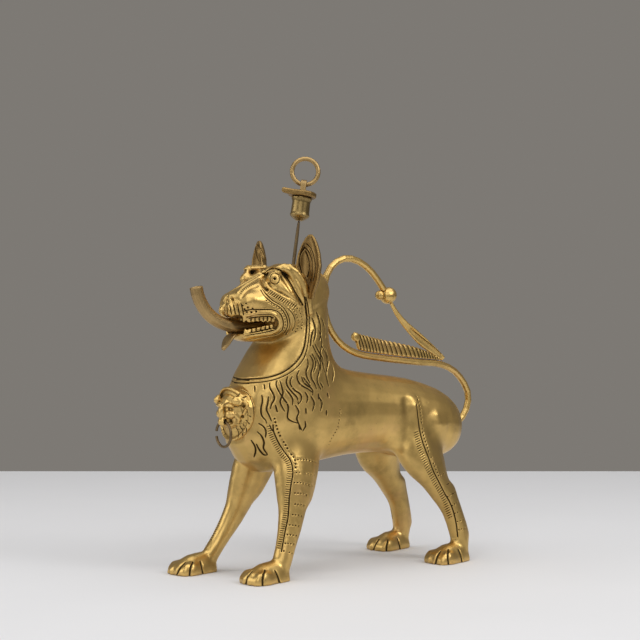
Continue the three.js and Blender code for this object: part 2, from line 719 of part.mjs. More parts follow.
function roundBar(radius, length, sides, z = 0) {
  const geometry = new THREE.CylinderGeometry(radius, radius, length, sides);
  geometry.rotateX(Math.PI / 2);
  geometry.translate(0, 0, z - length / 2);
  return solidFromGeometry(geometry);
}

function stopperPlug() {
  const r = plugDiameter / 2;
  const tip = -plugLength - plugPoint;
  return lathe([[0, tip], [0.3 * r, tip], [r - 1, -plugLength - 0.6], [r, -plugLength + 0.6],
    [r * 0.93, -plugLength + 2], [r * 0.9, -2.4], [r * 1.02, -0.9], [r * 1.02, 0], [0, 0]], 24);
}

// The flange is round with one pointed beak towards the lion's face.
function stopperFlange() {
  const r = flangeDiameter / 2;
  const open = 0.62;
  const half = [[0.25, -flangeBeak], [0.12 * r, -0.5 * (flangeBeak + r)], [0.3 * r, -1.05 * r]];
  for (let i = 0; i < 9; i++) {
    const angle = -Math.PI / 2 + open + ((i + 0.5) / 9) * (Math.PI - open);
    half.push([r * Math.cos(angle), r * Math.sin(angle)]);
  }
  const mirrored = half.map(([x, y]) => [-x, y]).reverse();
  const levels = [[0, 0.93], [0.25, 1], [0.8, 1], [1, 0.9]];
  return loft(levels.map(([rise, size]) => [...half, ...mirrored].map(([x, y]) => new THREE.Vector3(x * size,
    y * size, seam + rise * flangeThickness))));
}

const fingerHinge = flangeThickness + 2 * seam + eyeCentre + (eyeHole - fingerRingWire) / 2 - seam;

function stopperEye() {
  const outline = new THREE.Shape();
  const half = eyeWidth / 2;
  outline.moveTo(-half, 0);
  outline.lineTo(half, 0);
  outline.lineTo(half, eyeCentre);
  outline.absarc(0, eyeCentre, half, 0, Math.PI, false);
  outline.closePath();
  const hole = new THREE.Path();
  hole.absarc(0, eyeCentre, eyeHole / 2, 0, 2 * Math.PI, true);
  outline.holes.push(hole);
  const geometry = new THREE.ExtrudeGeometry(outline,
    { depth: eyeThickness, bevelEnabled: false, curveSegments: 10 });
  geometry.rotateX(Math.PI / 2);
  geometry.translate(0, eyeThickness / 2, 0);
  geometry.rotateZ(THREE.MathUtils.degToRad(-ringTurn));
  return solidFromGeometry(geometry).translate([0, 0, flangeThickness + 2 * seam]);
}

function fingerRing() {
  const radius = (fingerRingDiameter - fingerRingWire) / 2;
  const wire = fingerRingWire / 2;
  const profile = Array.from({ length: 9 }, (unused, i) => new THREE.Vector2(
    radius + wire * Math.cos((i / 8) * 2 * Math.PI), wire * Math.sin((i / 8) * 2 * Math.PI)));
  const geometry = new THREE.LatheGeometry(profile, 24);
  geometry.rotateZ(THREE.MathUtils.degToRad(90 - ringTurn));
  geometry.translate(0, 0, fingerHinge + radius);
  return solidFromGeometry(geometry);
}

function addPart(name, solid, material, parent) {
  const mesh = new THREE.Mesh(geometryFromSolid(solid), material);
  mesh.name = name;
  parent.add(mesh);
}

const lamp = new THREE.Group();

// Vessel
const bodyCavity = loft(stationRings([...bodyStations.slice(1, -1), neckTop,
  { ...neckTop, top: headPoint(0.1, 0.75), bottom: headPoint(0.52, 0.3) }], -wall, 16, 1));
addPart('body_shell', bodyForm(0).subtract(bodyCavity), brass, lamp);

const fillerHole = join([roundBar(plugDiameter / 2 + plugClearance, 2 * plugLength, 24, plugLength),
  roundBar(flangeDiameter / 2 + plugClearance, plugLength, 24, plugLength)])
  .transform(new THREE.Matrix4().makeRotationX(-lean).setPosition(crown).toArray());
const spoutHole = tube(spoutPath(), spoutDiameter / 2 + seam, 12, 14);
const headCuts = join([headCavity(), mouthPocket(), fillerHole]);
const headSolid = join([headForm(0).subtract(headCuts), ...teeth()]).subtract(spoutHole);
addPart('head_shell', headSolid, brass, lamp);
addPart('spout_tube', openTube(spoutPath(), spoutDiameter, spoutBore, 12, 14), brass, lamp);
addPart('tongue', mainBody(tongue().subtract(headForm(seam)).subtract(spoutHole)), brass, lamp);

// Ears and legs
const headClear = headForm(seam);
const bodyClear = bodyForm(seam);
addPart('left_ear', mainBody(ear(1).subtract(headClear)), brass, lamp);
addPart('right_ear', mainBody(ear(-1).subtract(headClear)), brass, lamp);

for (const handed of [1, -1]) {
  const which = handed > 0 ? 'left' : 'right';
  const ahead = handed > 0 ? 0 : 1;
  const foreHip = side(0.81, 0, foreHipX);
  const foreFoot = new THREE.Vector3(foreFootX, foreHip.y - foreReach - ahead * foreStride, 0);
  addPart(`front_${which}_leg`, mainBody(leg(foreLeg, foreHip, foreFoot, handed).subtract(bodyClear)), brass, lamp);
  const hindHip = side(0.27, 0, hindHipX);
  const hindFoot = new THREE.Vector3(hindFootX, hindHip.y + hindReach + ahead * hindStride, 0);
  addPart(`rear_${which}_leg`, mainBody(leg(hindLeg, hindHip, hindFoot, handed).subtract(bodyClear)), brass, lamp);
}

// Tail
const tailClear = tailRod(seam);
addPart('tail_handle', mainBody(tailRod(0).subtract(bodyClear).subtract(headClear).subtract(knop(seam))),
  brass, lamp);
addPart('tail_knop', knop(0), brass, lamp);
addPart('tail_blade', mainBody(blade(0).subtract(tailClear).subtract(knop(seam))), brass, lamp);
addPart('tail_plume', mainBody(join([plume(), scroll()]).subtract(tailClear).subtract(blade(seam))), brass, lamp);

// Chest mask and its ring
addPart('chest_mask', chestMask().subtract(bodyClear), brass, lamp);
addPart('chest_ring', chestRing(), darkBrass, lamp);

// Stopper
addPart('stopper_plug', stopperPlug(), brightBrass, stopper);
addPart('stopper_flange', stopperFlange(), brass, stopper);
addPart('stopper_eye', stopperEye(), brass, stopper);
const rodTop = -plugLength - plugPoint - seam;
addPart('stopper_rod', roundBar(rodDiameter / 2, rodLength, 12, rodTop), darkBrass, stopper);
addPart('stopper_ring', fingerRing(), brass, stopper);
lamp.add(stopper);

// The origin lies on the ground below the middle of the whole lamp.
const extent = new THREE.Box3().setFromObject(lamp, true);
lamp.position.set(-(extent.min.x + extent.max.x) / 2, -(extent.min.y + extent.max.y) / 2, -extent.min.z);

export default lamp;
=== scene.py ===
import math
import bmesh
import bpy
import numpy as np
from mathutils import Matrix, Vector
from mathutils.bvhtree import BVHTree
from mathutils.kdtree import KDTree


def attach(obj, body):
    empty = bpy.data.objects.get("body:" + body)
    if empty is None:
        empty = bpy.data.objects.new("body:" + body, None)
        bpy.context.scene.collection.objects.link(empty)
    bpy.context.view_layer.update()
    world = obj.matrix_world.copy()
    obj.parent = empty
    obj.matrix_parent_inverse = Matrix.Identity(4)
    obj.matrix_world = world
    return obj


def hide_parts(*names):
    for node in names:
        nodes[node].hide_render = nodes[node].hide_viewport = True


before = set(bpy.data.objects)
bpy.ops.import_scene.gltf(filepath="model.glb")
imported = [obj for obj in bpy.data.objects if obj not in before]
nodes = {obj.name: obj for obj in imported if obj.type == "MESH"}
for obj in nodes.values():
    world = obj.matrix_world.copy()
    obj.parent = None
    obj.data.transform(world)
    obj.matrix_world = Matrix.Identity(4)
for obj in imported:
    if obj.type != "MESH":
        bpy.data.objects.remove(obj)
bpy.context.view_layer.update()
mm = 0.001
print("frame loaded", len(nodes), "nodes")

shot = {"azimuth": 52.0, "distance": 0.89, "height": 0.136, "turnPoint": -0.01417, "focal": 1616.0,
        "picture": 640.0,
        "sensor": 36.0}


def lookFrame():
    angle = math.radians(shot["azimuth"])
    forward = Vector((-math.sin(angle), math.cos(angle), 0))
    right = Vector((math.cos(angle), math.sin(angle), 0))
    place = Vector((0, shot["turnPoint"], shot["height"])) - forward * shot["distance"]
    return place, forward, right


def makeCamera():
    place, forward, right = lookFrame()
    data = bpy.data.cameras.new("camera")
    data.sensor_width = shot["sensor"]
    data.lens = shot["focal"] * shot["sensor"] / shot["picture"]
    data.clip_start, data.clip_end = 0.05, 20
    camera = bpy.data.objects.new("camera", data)
    camera.location = place
    camera.rotation_euler = forward.to_track_quat("-Z", "Y").to_euler()
    bpy.context.collection.objects.link(camera)
    bpy.context.scene.camera = camera


makeCamera()

table = {"half": 0.565, "thickness": 0.03, "corner": 0.002, "color": (0.74, 0.735, 0.74), "roughness": 0.62}
backdrop = {"color": (0.205, 0.192, 0.175), "strength": 1.0, "ambient": (0.62, 0.62, 0.63),
            "ambientStrength": 0.55}
softBoxes = [
    {"name": "topBox", "place": (0.2, -0.1, 1.25), "aim": (0, 0, 0.08), "size": (1.7, 1.4), "power": 12.0},
    {"name": "frontBox", "place": (0.95, -0.95, 0.75), "aim": (0, 0, 0.12), "size": (0.9, 0.8), "power": 3.6},
    {"name": "leftBox", "place": (-0.45, -1.05, 0.45), "aim": (0, 0, 0.10), "size": (0.8, 0.7), "power": 3.2},
    {"name": "keyBox", "place": (0.93, 0.36, 0.75), "aim": (0, 0, 0.08), "size": (0.36, 0.36), "power": 3.4},
]


def newMaterial(name):
    material = bpy.data.materials.new(name)
    material.use_nodes = True
    return material, material.node_tree.nodes, material.node_tree.links


def makeTable():
    bm = bmesh.new()
    bmesh.ops.create_cube(bm, size=1)
    size = Vector((2 * table["half"], 2 * table["half"], table["thickness"]))
    bmesh.ops.scale(bm, verts=bm.verts, vec=size)
    bmesh.ops.rotate(bm, verts=bm.verts, cent=(0, 0, 0),
                     matrix=Matrix.Rotation(math.radians(shot["azimuth"]), 3, "Z"))
    bmesh.ops.translate(bm, verts=bm.verts, vec=(0, shot["turnPoint"], -table["thickness"] / 2))
    bmesh.ops.bevel(bm, geom=bm.edges, offset=table["corner"], segments=3, profile=0.5, affect="EDGES",
                    material=-1)
    piece = meshPiece("tableTop", bm)
    material, parts, links = newMaterial("tablePaint")
    shader = parts["Principled BSDF"]
    shader.inputs["Roughness"].default_value = table["roughness"]
    noise = parts.new("ShaderNodeTexNoise")
    noise.inputs["Scale"].default_value = 9
    noise.inputs["Detail"].default_value = 8
    tone = parts.new("ShaderNodeMixRGB")
    tone.inputs[1].default_value = (*table["color"], 1)
    tone.inputs[2].default_value = (*[c * 0.96 for c in table["color"]], 1)
    place = parts.new("ShaderNodeTexCoord")
    links.new(place.outputs["Object"], noise.inputs["Vector"])
    links.new(noise.outputs["Fac"], tone.inputs[0])
    links.new(tone.outputs[0], shader.inputs["Base Color"])
    piece.data.materials.append(material)


def meshPiece(name, bm):
    mesh = bpy.data.meshes.new(name)
    bm.to_mesh(mesh)
    bm.free()
    piece = bpy.data.objects.new(name, mesh)
    bpy.context.collection.objects.link(piece)
    return piece


def makeWorld():
    world = bpy.data.worlds.new("studio")
    bpy.context.scene.world = world
    world.use_nodes = True
    parts, links = world.node_tree.nodes, world.node_tree.links
    seen = parts["Background"]
    seen.inputs["Color"].default_value = (*backdrop["color"], 1)
    seen.inputs["Strength"].default_value = backdrop["strength"]
    fill = parts.new("ShaderNodeBackground")
    fill.inputs["Color"].default_value = (*backdrop["ambient"], 1)
    fill.inputs["Strength"].default_value = backdrop["ambientStrength"]
    path = parts.new("ShaderNodeLightPath")
    shown = path.outputs["Is Camera Ray"]
    for ray in ("Is Glossy Ray", "Is Transmission Ray"):   # metal shows the backdrop too
        either = parts.new("ShaderNodeMath")
        either.operation = "MAXIMUM"
        links.new(shown, either.inputs[0])
        links.new(path.outputs[ray], either.inputs[1])
        shown = either.outputs[0]
    mix = parts.new("ShaderNodeMixShader")
    links.new(shown, mix.inputs[0])
    links.new(fill.outputs[0], mix.inputs[1])
    links.new(seen.outputs[0], mix.inputs[2])
    links.new(mix.outputs[0], parts["World Output"].inputs["Surface"])


def makeLights():
    for box in softBoxes:
        data = bpy.data.lights.new(box["name"], "AREA")
        data.shape = "RECTANGLE"
        data.size, data.size_y = box["size"]
        data.energy = box["power"]
        lamp = bpy.data.objects.new(box["name"], data)
        lamp.location = box["place"]
        aim = Vector(box["aim"]) - Vector(box["place"])
        lamp.rotation_euler = aim.to_track_quat("-Z", "Y").to_euler()
        bpy.context.collection.objects.link(lamp)


makeTable()
makeWorld()
makeLights()
bpy.context.scene.view_settings.view_transform = "Standard"
print("studio ready")


patterns = {
    "clouds": {"scale": 26, "detail": 6, "rough": 0.6},
    "patches": {"scale": 48, "detail": 8, "rough": 0.65, "shift": (3, 1, 2)},
    "blushes": {"scale": 30, "detail": 7, "rough": 0.7, "shift": (7, 2, 5)},
    "specks": {"scale": 420, "detail": 4, "rough": 0.6, "shift": (1, 9, 4)},
    "smudge": {"scale": 90, "detail": 8, "rough": 0.7, "shift": (5, 5, 1)},
    "hairs": {"scale": 260, "detail": 5, "rough": 0.6, "stretch": (1, 7, 0.25)},
    "dents": {"scale": 34, "detail": 3, "rough": 0.5, "shift": (2, 6, 8)},
}


# Aged brass: clouds of tarnish, warm blushes, specks, grime in cuts and creases, and painted shade that
# darkens corners which see little sky.
def makeAgedMetal():
    group = bpy.data.node_groups.new("agedMetal", "ShaderNodeTree")
    face = group.interface
    for label, kind, value in [("Metal", "NodeSocketColor", (0.6, 0.42, 0.18, 1)),
                               ("Tarnish", "NodeSocketColor", (0.25, 0.18, 0.08, 1)),
                               ("Blush", "NodeSocketColor", (0.62, 0.38, 0.22, 1)),
                               ("Grime", "NodeSocketColor", (0.02, 0.012, 0.006, 1)),
                               ("Tarnish Amount", "NodeSocketFloat", 0.5),
                               ("Blush Amount", "NodeSocketFloat", 0.4),
                               ("Roughness", "NodeSocketFloat", 0.3), ("Groove", "NodeSocketFloat", 0.0),
                               ("Cavity", "NodeSocketFloat", 0.0), ("Paintedshade", "NodeSocketFloat", 0.0)]:
        socket = face.new_socket(name=label, in_out="INPUT", socket_type=kind)
        socket.default_value = value
    face.new_socket(name="Color", in_out="OUTPUT", socket_type="NodeSocketColor")
    face.new_socket(name="Roughness", in_out="OUTPUT", socket_type="NodeSocketFloat")
    face.new_socket(name="Height", in_out="OUTPUT", socket_type="NodeSocketFloat")
    parts, links = group.nodes, group.links
    given = parts.new("NodeGroupInput")
    out = parts.new("NodeGroupOutput")
    place = parts.new("ShaderNodeTexCoord")

    def noise(scale, detail, rough=0.55, stretch=None, shift=(0, 0, 0)):
        texture = parts.new("ShaderNodeTexNoise")
        texture.inputs["Scale"].default_value = scale
        texture.inputs["Detail"].default_value = detail
        texture.inputs["Roughness"].default_value = rough
        mapping = parts.new("ShaderNodeMapping")
        mapping.inputs["Location"].default_value = shift
        mapping.inputs["Scale"].default_value = stretch or (1, 1, 1)
        links.new(place.outputs["Object"], mapping.inputs["Vector"])
        links.new(mapping.outputs[0], texture.inputs["Vector"])
        return texture.outputs["Fac"]

    def ramp(source, low, high, outLow=0.0, outHigh=1.0):
        node = parts.new("ShaderNodeMapRange")
        node.interpolation_type = "SMOOTHSTEP"
        for label, value in zip(("From Min", "From Max", "To Min", "To Max"), (low, high, outLow, outHigh)):
            node.inputs[label].default_value = value
        links.new(source, node.inputs["Value"])
        return node.outputs["Result"]

    def combine(kind, a, b):
        node = parts.new("ShaderNodeMath")
        node.operation = kind
        node.use_clamp = kind != "SUBTRACT"
        for socket, value in zip(node.inputs, (a, b)):
            if isinstance(value, (int, float)):
                socket.default_value = value
            else:
                links.new(value, socket)
        return node.outputs[0]

    def times(a, b):
        return combine("MULTIPLY", a, b)

    def plus(a, b):
        return combine("ADD", a, b)

    def larger(a, b):
        return combine("MAXIMUM", a, b)

    def less(a, b):
        return combine("SUBTRACT", a, b)

    def blend(amount, a, b):
        node = parts.new("ShaderNodeMixRGB")
        links.new(amount, node.inputs[0])
        links.new(a, node.inputs[1])
        links.new(b, node.inputs[2])
        return node.outputs[0]

    clouds = ramp(noise(**patterns["clouds"]), 0.36, 0.66)
    patches = ramp(noise(**patterns["patches"]), 0.46, 0.72)
    blushes = ramp(noise(**patterns["blushes"]), 0.5, 0.7)
    specks = ramp(noise(**patterns["specks"]), 0.62, 0.74)
    smudge = noise(**patterns["smudge"])
    hairs = noise(**patterns["hairs"])
    worn = ramp(given.outputs["Cavity"], -0.5, 0.05, 1.0, 0.0)   # ridges are rubbed bright
    sunk = ramp(given.outputs["Cavity"], 0.05, 0.7)
    tarnish = times(plus(times(clouds, 0.6), times(patches, 0.55)), given.outputs["Tarnish Amount"])
    tarnish = times(tarnish, less(1.0, times(worn, 0.7)))
    tarnish = larger(tarnish, times(sunk, 0.85))
    color = blend(tarnish, given.outputs["Metal"], given.outputs["Tarnish"])
    color = blend(times(blushes, given.outputs["Blush Amount"]), color, given.outputs["Blush"])
    color = blend(times(specks, 0.35), color, given.outputs["Tarnish"])
    # Painted shade: where little sky is seen near a point, the colour is darkened towards the same dark
    # colour as the dirt in cuts and creases.
    shadeMask = ramp(given.outputs["Paintedshade"], 0.3, 0.85)
    grimeAndShade = larger(ramp(given.outputs["Groove"], 0.12, 0.6), times(sunk, 0.5))
    grimeAndShade = larger(grimeAndShade, shadeMask)
    color = blend(times(grimeAndShade, 0.93), color, given.outputs["Grime"])
    links.new(color, out.inputs["Color"])
    rough = plus(given.outputs["Roughness"], times(less(smudge, 0.5), 0.22))
    rough = plus(rough, times(tarnish, 0.12))
    rough = plus(rough, times(grimeAndShade, 0.3))
    links.new(rough, out.inputs["Roughness"])
    dents = noise(**patterns["dents"])
    height = plus(times(hairs, 0.14), times(smudge, 0.3))
    height = plus(height, times(dents, 0.56))
    height = less(height, times(specks, 0.3))
    links.new(height, out.inputs["Height"])
    return group


agedMetal = makeAgedMetal()

finishes = {
    "castBrass": {"Metal": (0.72, 0.485, 0.165), "Tarnish": (0.33, 0.225, 0.075), "Blush": (0.66, 0.4, 0.17),
                  "Tarnish Amount": 0.85, "Blush Amount": 0.45, "Roughness": 0.35, "bump": 0.3},
    "dullBrass": {"Metal": (0.46, 0.31, 0.13), "Tarnish": (0.16, 0.11, 0.05), "Blush": (0.4, 0.24, 0.14),
                  "Tarnish Amount": 0.75, "Blush Amount": 0.3, "Roughness": 0.4, "bump": 0.08},
    "darkBrass": {"Metal": (0.2, 0.14, 0.07), "Tarnish": (0.06, 0.045, 0.03), "Blush": (0.2, 0.11, 0.07),
                  "Tarnish Amount": 0.8, "Blush Amount": 0.2, "Roughness": 0.42, "bump": 0.08},
    "earBrass": {"Metal": (0.33, 0.21, 0.075), "Tarnish": (0.12, 0.075, 0.03), "Blush": (0.28, 0.16, 0.08),
                 "Tarnish Amount": 0.8, "Blush Amount": 0.3, "Roughness": 0.42, "bump": 0.1},
    "rubbedBrass": {"Metal": (0.4, 0.28, 0.11), "Tarnish": (0.11, 0.078, 0.03), "Blush": (0.36, 0.22, 0.1),
                    "Tarnish Amount": 0.85, "Blush Amount": 0.25, "Roughness": 0.33, "bump": 0.08},
}
bumpDistance = 0.5 * mm


def makeFinish(name, values):
    material, parts, links = newMaterial(name)
    shader = parts["Principled BSDF"]
    shader.inputs["Metallic"].default_value = 1.0
    aged = parts.new("ShaderNodeGroup")
    aged.node_tree = agedMetal
    for label, value in values.items():
        if label in aged.inputs:
            aged.inputs[label].default_value = (*value, 1) if isinstance(value, tuple) else value
    for label in ("groove", "cavity", "paintedshade"):
        read = parts.new("ShaderNodeAttribute")
        read.attribute_name = label
        links.new(read.outputs["Fac"], aged.inputs[label.capitalize()])
    bump = parts.new("ShaderNodeBump")
    bump.inputs["Strength"].default_value = values["bump"]
    bump.inputs["Distance"].default_value = bumpDistance
    links.new(aged.outputs["Color"], shader.inputs["Base Color"])
    links.new(aged.outputs["Roughness"], shader.inputs["Roughness"])
    links.new(aged.outputs["Height"], bump.inputs["Height"])
    links.new(bump.outputs["Normal"], shader.inputs["Normal"])
    return material


brass = {name: makeFinish(name, values) for name, values in finishes.items()}
print("brass mixed")


def mergedCopy(names):
    bm = bmesh.new()
    for name in names:
        bm.from_mesh(nodes[name].data)
    bmesh.ops.remove_doubles(bm, verts=bm.verts, dist=0.002 * mm)
    return bm


# The mesh that a piece's modifiers give. The piece itself goes.
def applied(piece):
    mesh = bpy.data.meshes.new_from_object(piece.evaluated_get(bpy.context.evaluated_depsgraph_get()))
    old = piece.data
    bpy.data.objects.remove(piece)
    bpy.data.meshes.remove(old)
    return mesh


def voxelSkin(bm, voxel):
    piece = meshPiece("voxels", bm)
    modifier = piece.modifiers.new("voxels", "REMESH")
    modifier.mode = "VOXEL"
    modifier.voxel_size = voxel
    return applied(piece)


def readPoints(mesh):
    points = np.empty(len(mesh.vertices) * 3)
    mesh.vertices.foreach_get("co", points)
    return points.reshape(-1, 3)


def writePoints(mesh, points):
    mesh.vertices.foreach_set("co", points.astype(np.float32).ravel())
    mesh.update()


def readNormals(mesh):
    normals = np.empty(len(mesh.vertices) * 3)
    mesh.vertices.foreach_get("normal", normals)
    return normals.reshape(-1, 3)


def edgeEnds(mesh):
    ends = np.empty(len(mesh.edges) * 2, dtype=np.int64)
    mesh.edges.foreach_get("vertices", ends)
    return ends[0::2], ends[1::2]


def neighbourMean(values, a, b, count):
    total = np.zeros_like(values)
    for axis in range(values.shape[1]):
        total[:, axis] = np.bincount(a, values[b, axis], len(values)) + np.bincount(b, values[a, axis],
                                                                                    len(values))
    return total / count[:, None]


def linkCount(a, b, total):
    return np.maximum(np.bincount(a, minlength=total) + np.bincount(b, minlength=total), 1)


def writeValues(mesh, name, values):
    layer = mesh.attributes.get(name) or mesh.attributes.new(name, "FLOAT", "POINT")
    layer.data.foreach_set("value", values.astype(np.float32))


# Smooths without shrinking: each pull towards the neighbours is followed by a slightly stronger push back.
def relax(mesh, rounds, share=1.0, push=-0.53):
    points = readPoints(mesh)
    a, b = edgeEnds(mesh)
    count = linkCount(a, b, len(points))
    for step in range(2 * rounds):
        strength = 0.5 if step % 2 == 0 else push
        points += strength * share * (neighbourMean(points, a, b, count) - points)
    writePoints(mesh, points)


# One where the value is at or past high, none at or before low, whichever way they run.
def fade(values, low, high):
    t = np.clip((values - low) / (high - low), 0, 1)
    return t * t * (3 - 2 * t)


# How near each point is to any of the given places.
def nearPlaces(points, places, inner, outer):
    tree = treeOf(places)
    gaps = np.array([tree.find(p)[2] for p in points])
    return fade(gaps, outer, inner)[:, None]


# Writes how hollow each point is: above zero in creases, below zero on ridges.
def writeCavity(mesh, gain=0.5, rounds=3):
    points, normals = readPoints(mesh), readNormals(mesh)
    a, b = edgeEnds(mesh)
    count = linkCount(a, b, len(points))
    length = np.linalg.norm(points[a] - points[b], axis=1)
    reach = (np.bincount(a, length, len(points)) + np.bincount(b, length, len(points))) / count
    bend = ((neighbourMean(points, a, b, count) - points) * normals).sum(1) / np.maximum(reach, 1e-7) ** 2
    values = (bend * gain * mm * 4)[:, None]
    for step in range(rounds):
        values = 0.5 * values + 0.5 * neighbourMean(values, a, b, count)
    writeValues(mesh, "cavity", np.clip(values[:, 0], -1, 1))


goldenTurn = 2.399963


# Even directions over the upper half of a ball.
def skyRays(count):
    rays = []
    for i in range(count):
        rise = math.sqrt((i + 0.5) / count)
        turn = i * goldenTurn
        flat = math.sqrt(1 - rise * rise)
        rays.append(Vector((flat * math.cos(turn), flat * math.sin(turn), rise)))
    return rays


# Writes how much of the sky each point misses within a short reach: painted shade that darkens corners and
# recesses.
def writePaintedShade(mesh, reach, count=9):
    bvh = bvhOf(mesh)
    points, normals = readPoints(mesh), readNormals(mesh)
    values = np.zeros(len(points))
    rays = skyRays(count)
    for i, (point, normal) in enumerate(zip(points, normals)):
        up = Vector(normal)
        side = up.orthogonal().normalized()
        other = up.cross(side)
        start = Vector(point) + up * 0.15 * mm
        for ray in rays:
            if bvh.ray_cast(start, side * ray.x + other * ray.y + up * ray.z, reach)[0] is not None:
                values[i] += 1 / count
    a, b = edgeEnds(mesh)
    near = linkCount(a, b, len(points))
    values = values[:, None]
    for step in range(2):
        values = 0.4 * values + 0.6 * neighbourMean(values, a, b, near)
    writeValues(mesh, "paintedshade", values[:, 0])


def addPiece(name, mesh, finish, replaced, body="lamp"):
    mesh.name = name
    mesh.shade_smooth()
    piece = bpy.data.objects.new(name, mesh)
    bpy.context.collection.objects.link(piece)
    piece.data.materials.clear()
    piece.data.materials.append(brass[finish])
    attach(piece, body)
    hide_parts(*replaced)
    return piece


place, forward, right = lookFrame()


def rayThrough(px, py):
    half = shot["picture"] / 2
    direction = forward * shot["focal"] + right * (px - half) - Vector((0, 0, 1)) * (py - half)
    return direction.normalized()


# A smooth curve through the points.
def smoothLine(points, step=0.35):
    line = []
    padded = [points[0], *points, points[-1]]
    for i in range(1, len(padded) - 2):
        p0, p1, p2, p3 = (np.array(p, float) for p in padded[i - 1:i + 3])
        count = max(1, int(np.linalg.norm(p2 - p1) / step))
        for k in range(count):
            t = k / count
            line.append(0.5 * ((2 * p1) + (p2 - p0) * t + (2 * p0 - 5 * p1 + 4 * p2 - p3) * t * t
                               + (3 * p1 - p0 - 3 * p2 + p3) * t ** 3))
    line.append(np.array(points[-1], float))
    return line


def spaced(line, gap):
    lengths = np.concatenate([[0], np.cumsum([np.linalg.norm(q - p) for p, q in zip(line, line[1:])])])
    wanted = np.arange(0, lengths[-1] + 1e-6, gap)
    xs = np.interp(wanted, lengths, [p[0] for p in line])
    ys = np.interp(wanted, lengths, [p[1] for p in line])
    return np.stack([xs, ys], 1)


# Marks are drawn on the picture and cast onto the skin. All but the single ones are repeated on the
# far side.
class ToolMarks:
    def __init__(self, bvh):
        self.bvh = bvh
        self.spots = []   # place, radius, depth

    def put(self, px, py, radius, depth, shift):
        hit = self.bvh.ray_cast(place, rayThrough(px, py))[0]
        if hit is None:
            return
        self.spots.append((hit, radius, depth))
        if shift == "single":
            return
        far = Vector((-hit.x, hit.y, hit.z))
        if shift:
            top, rearward = shift
            far.y += rearward * max(0.0, 1 - far.z / top)
        found = self.bvh.find_nearest(far)[0]
        if found is not None:
            self.spots.append((found, radius, depth))

    def line(self, points, width, depth, taper=False, shift=None):
        line = smoothLine(points)
        for i, (px, py) in enumerate(line):
            share = math.sin(math.pi * (i + 0.5) / len(line)) ** 0.5 if taper else 1
            self.put(px, py, width * mm * (0.45 + 0.55 * share), depth * mm * (0.4 + 0.6 * share), shift)

    def dots(self, points, gap, width, depth, shift=None):
        for px, py in spaced(smoothLine(points), gap):
            self.put(px, py, width * mm, depth * mm, shift)

    def hatch(self, points, gap, length, angle, width, depth, shift=None):
        places = spaced(smoothLine(points), gap)
        for i in range(len(places) - 1):
            run = places[i + 1] - places[i]
            turned = math.atan2(run[1], run[0]) + math.radians(angle)
            across = np.array((math.cos(turned), math.sin(turned)))
            for k in np.linspace(-0.5, 0.5, 9):
                px, py = places[i] + across * length * k
                self.put(px, py, width * mm * (1 - 0.5 * abs(k)), depth * mm, shift)


def treeOf(points):
    tree = KDTree(len(points))
    for i, point in enumerate(points):
        tree.insert(point, i)
    tree.balance()
    return tree


# Splits the edges near the marks, so that each mark is cut into the mesh itself.
def refine(mesh, tree, reach, edgeLength, passes):
    bm = bmesh.new()
    bm.from_mesh(mesh)
    bmesh.ops.triangulate(bm, faces=bm.faces)
    for step in range(passes):
        for vert in bm.verts:
            vert.tag = tree.find(vert.co)[2] < reach
        edges = [e for e in bm.edges if (e.verts[0].tag or e.verts[1].tag) and e.calc_length() > edgeLength]
        bmesh.ops.subdivide_edges(bm, edges=edges, cuts=1)
        bmesh.ops.triangulate(bm, faces=[f for f in bm.faces if len(f.verts) > 3])
    bm.to_mesh(mesh)
    bm.free()


# Moves the spots onto this skin, and drops those with no skin near.
def onMesh(mesh, spots):
    bvh = bvhOf(mesh)
    kept = []
    for spot, radius, depth in spots:
        found = bvh.find_nearest(spot, 1.2 * mm)[0]
        if found is not None:
            kept.append((found, radius, depth))
    return kept


def bvhOf(mesh):
    bm = bmesh.new()
    bm.from_mesh(mesh)
    bvh = BVHTree.FromBMesh(bm)
    bm.free()
    return bvh


# Pushes the skin out or in round the spots, by a rounded hill or pit on each.
def emboss(mesh, spots, facing=None):
    spots = onMesh(mesh, spots)
    if not spots:
        return
    tree = treeOf([spot[0] for spot in spots])
    widest = max(spot[1] for spot in spots)
    points, normals = readPoints(mesh), readNormals(mesh)
    middle = np.array([spot[0] for spot in spots])
    near = np.where((points > middle.min(0) - widest).all(1) & (points < middle.max(0) + widest).all(1))[0]
    found = [tree.find(points[i]) for i in near]
    index = np.array([f[1] for f in found])
    share = np.array([f[2] for f in found]) / np.array([s[1] for s in spots])[index]
    rise = np.array([s[2] for s in spots])[index]
    push = np.where(share < 1, (1 - np.minimum(share, 1) ** 2) ** 2, 0) * rise
    if facing:
        push = push * fade(normals[near] @ np.array(facing), 0.05, 0.3)
    points[near] += normals[near] * push[:, None]
    writePoints(mesh, points)


# Presses one line into the skin, or out of it, as seen from the picture's side.
def pressLine(mesh, bvh, points, radius, height, facing=None, shift=None):
    marks = ToolMarks(bvh)
    marks.line(points, radius, height, shift=shift)
    emboss(mesh, marks.spots, facing)


# Cuts the marks into the skin, with a low burr beside each, and writes where the cuts are.
def engrave(mesh, spots, reach, edgeLength, passes):
    spots = onMesh(mesh, spots)
    tree = treeOf([spot[0] for spot in spots])
    refine(mesh, tree, reach, edgeLength, passes)
    points, normals = readPoints(mesh), readNormals(mesh)
    found = [tree.find(p) for p in points]
    index = np.array([f[1] for f in found])
    radius = np.array([s[1] for s in spots])[index]
    depth = np.array([s[2] for s in spots])[index]
    share = np.array([f[2] for f in found]) / radius
    cut = np.where(share < 1, (1 - np.minimum(share, 1) ** 2) ** 1.5, 0)
    burr = np.exp(-((share - 1.35) / 0.35) ** 2) * 0.2
    points += normals * ((burr - cut) * depth)[:, None]
    points[:, 2] = np.maximum(points[:, 2], 0)
    writePoints(mesh, points)
    writeValues(mesh, "groove", cut)


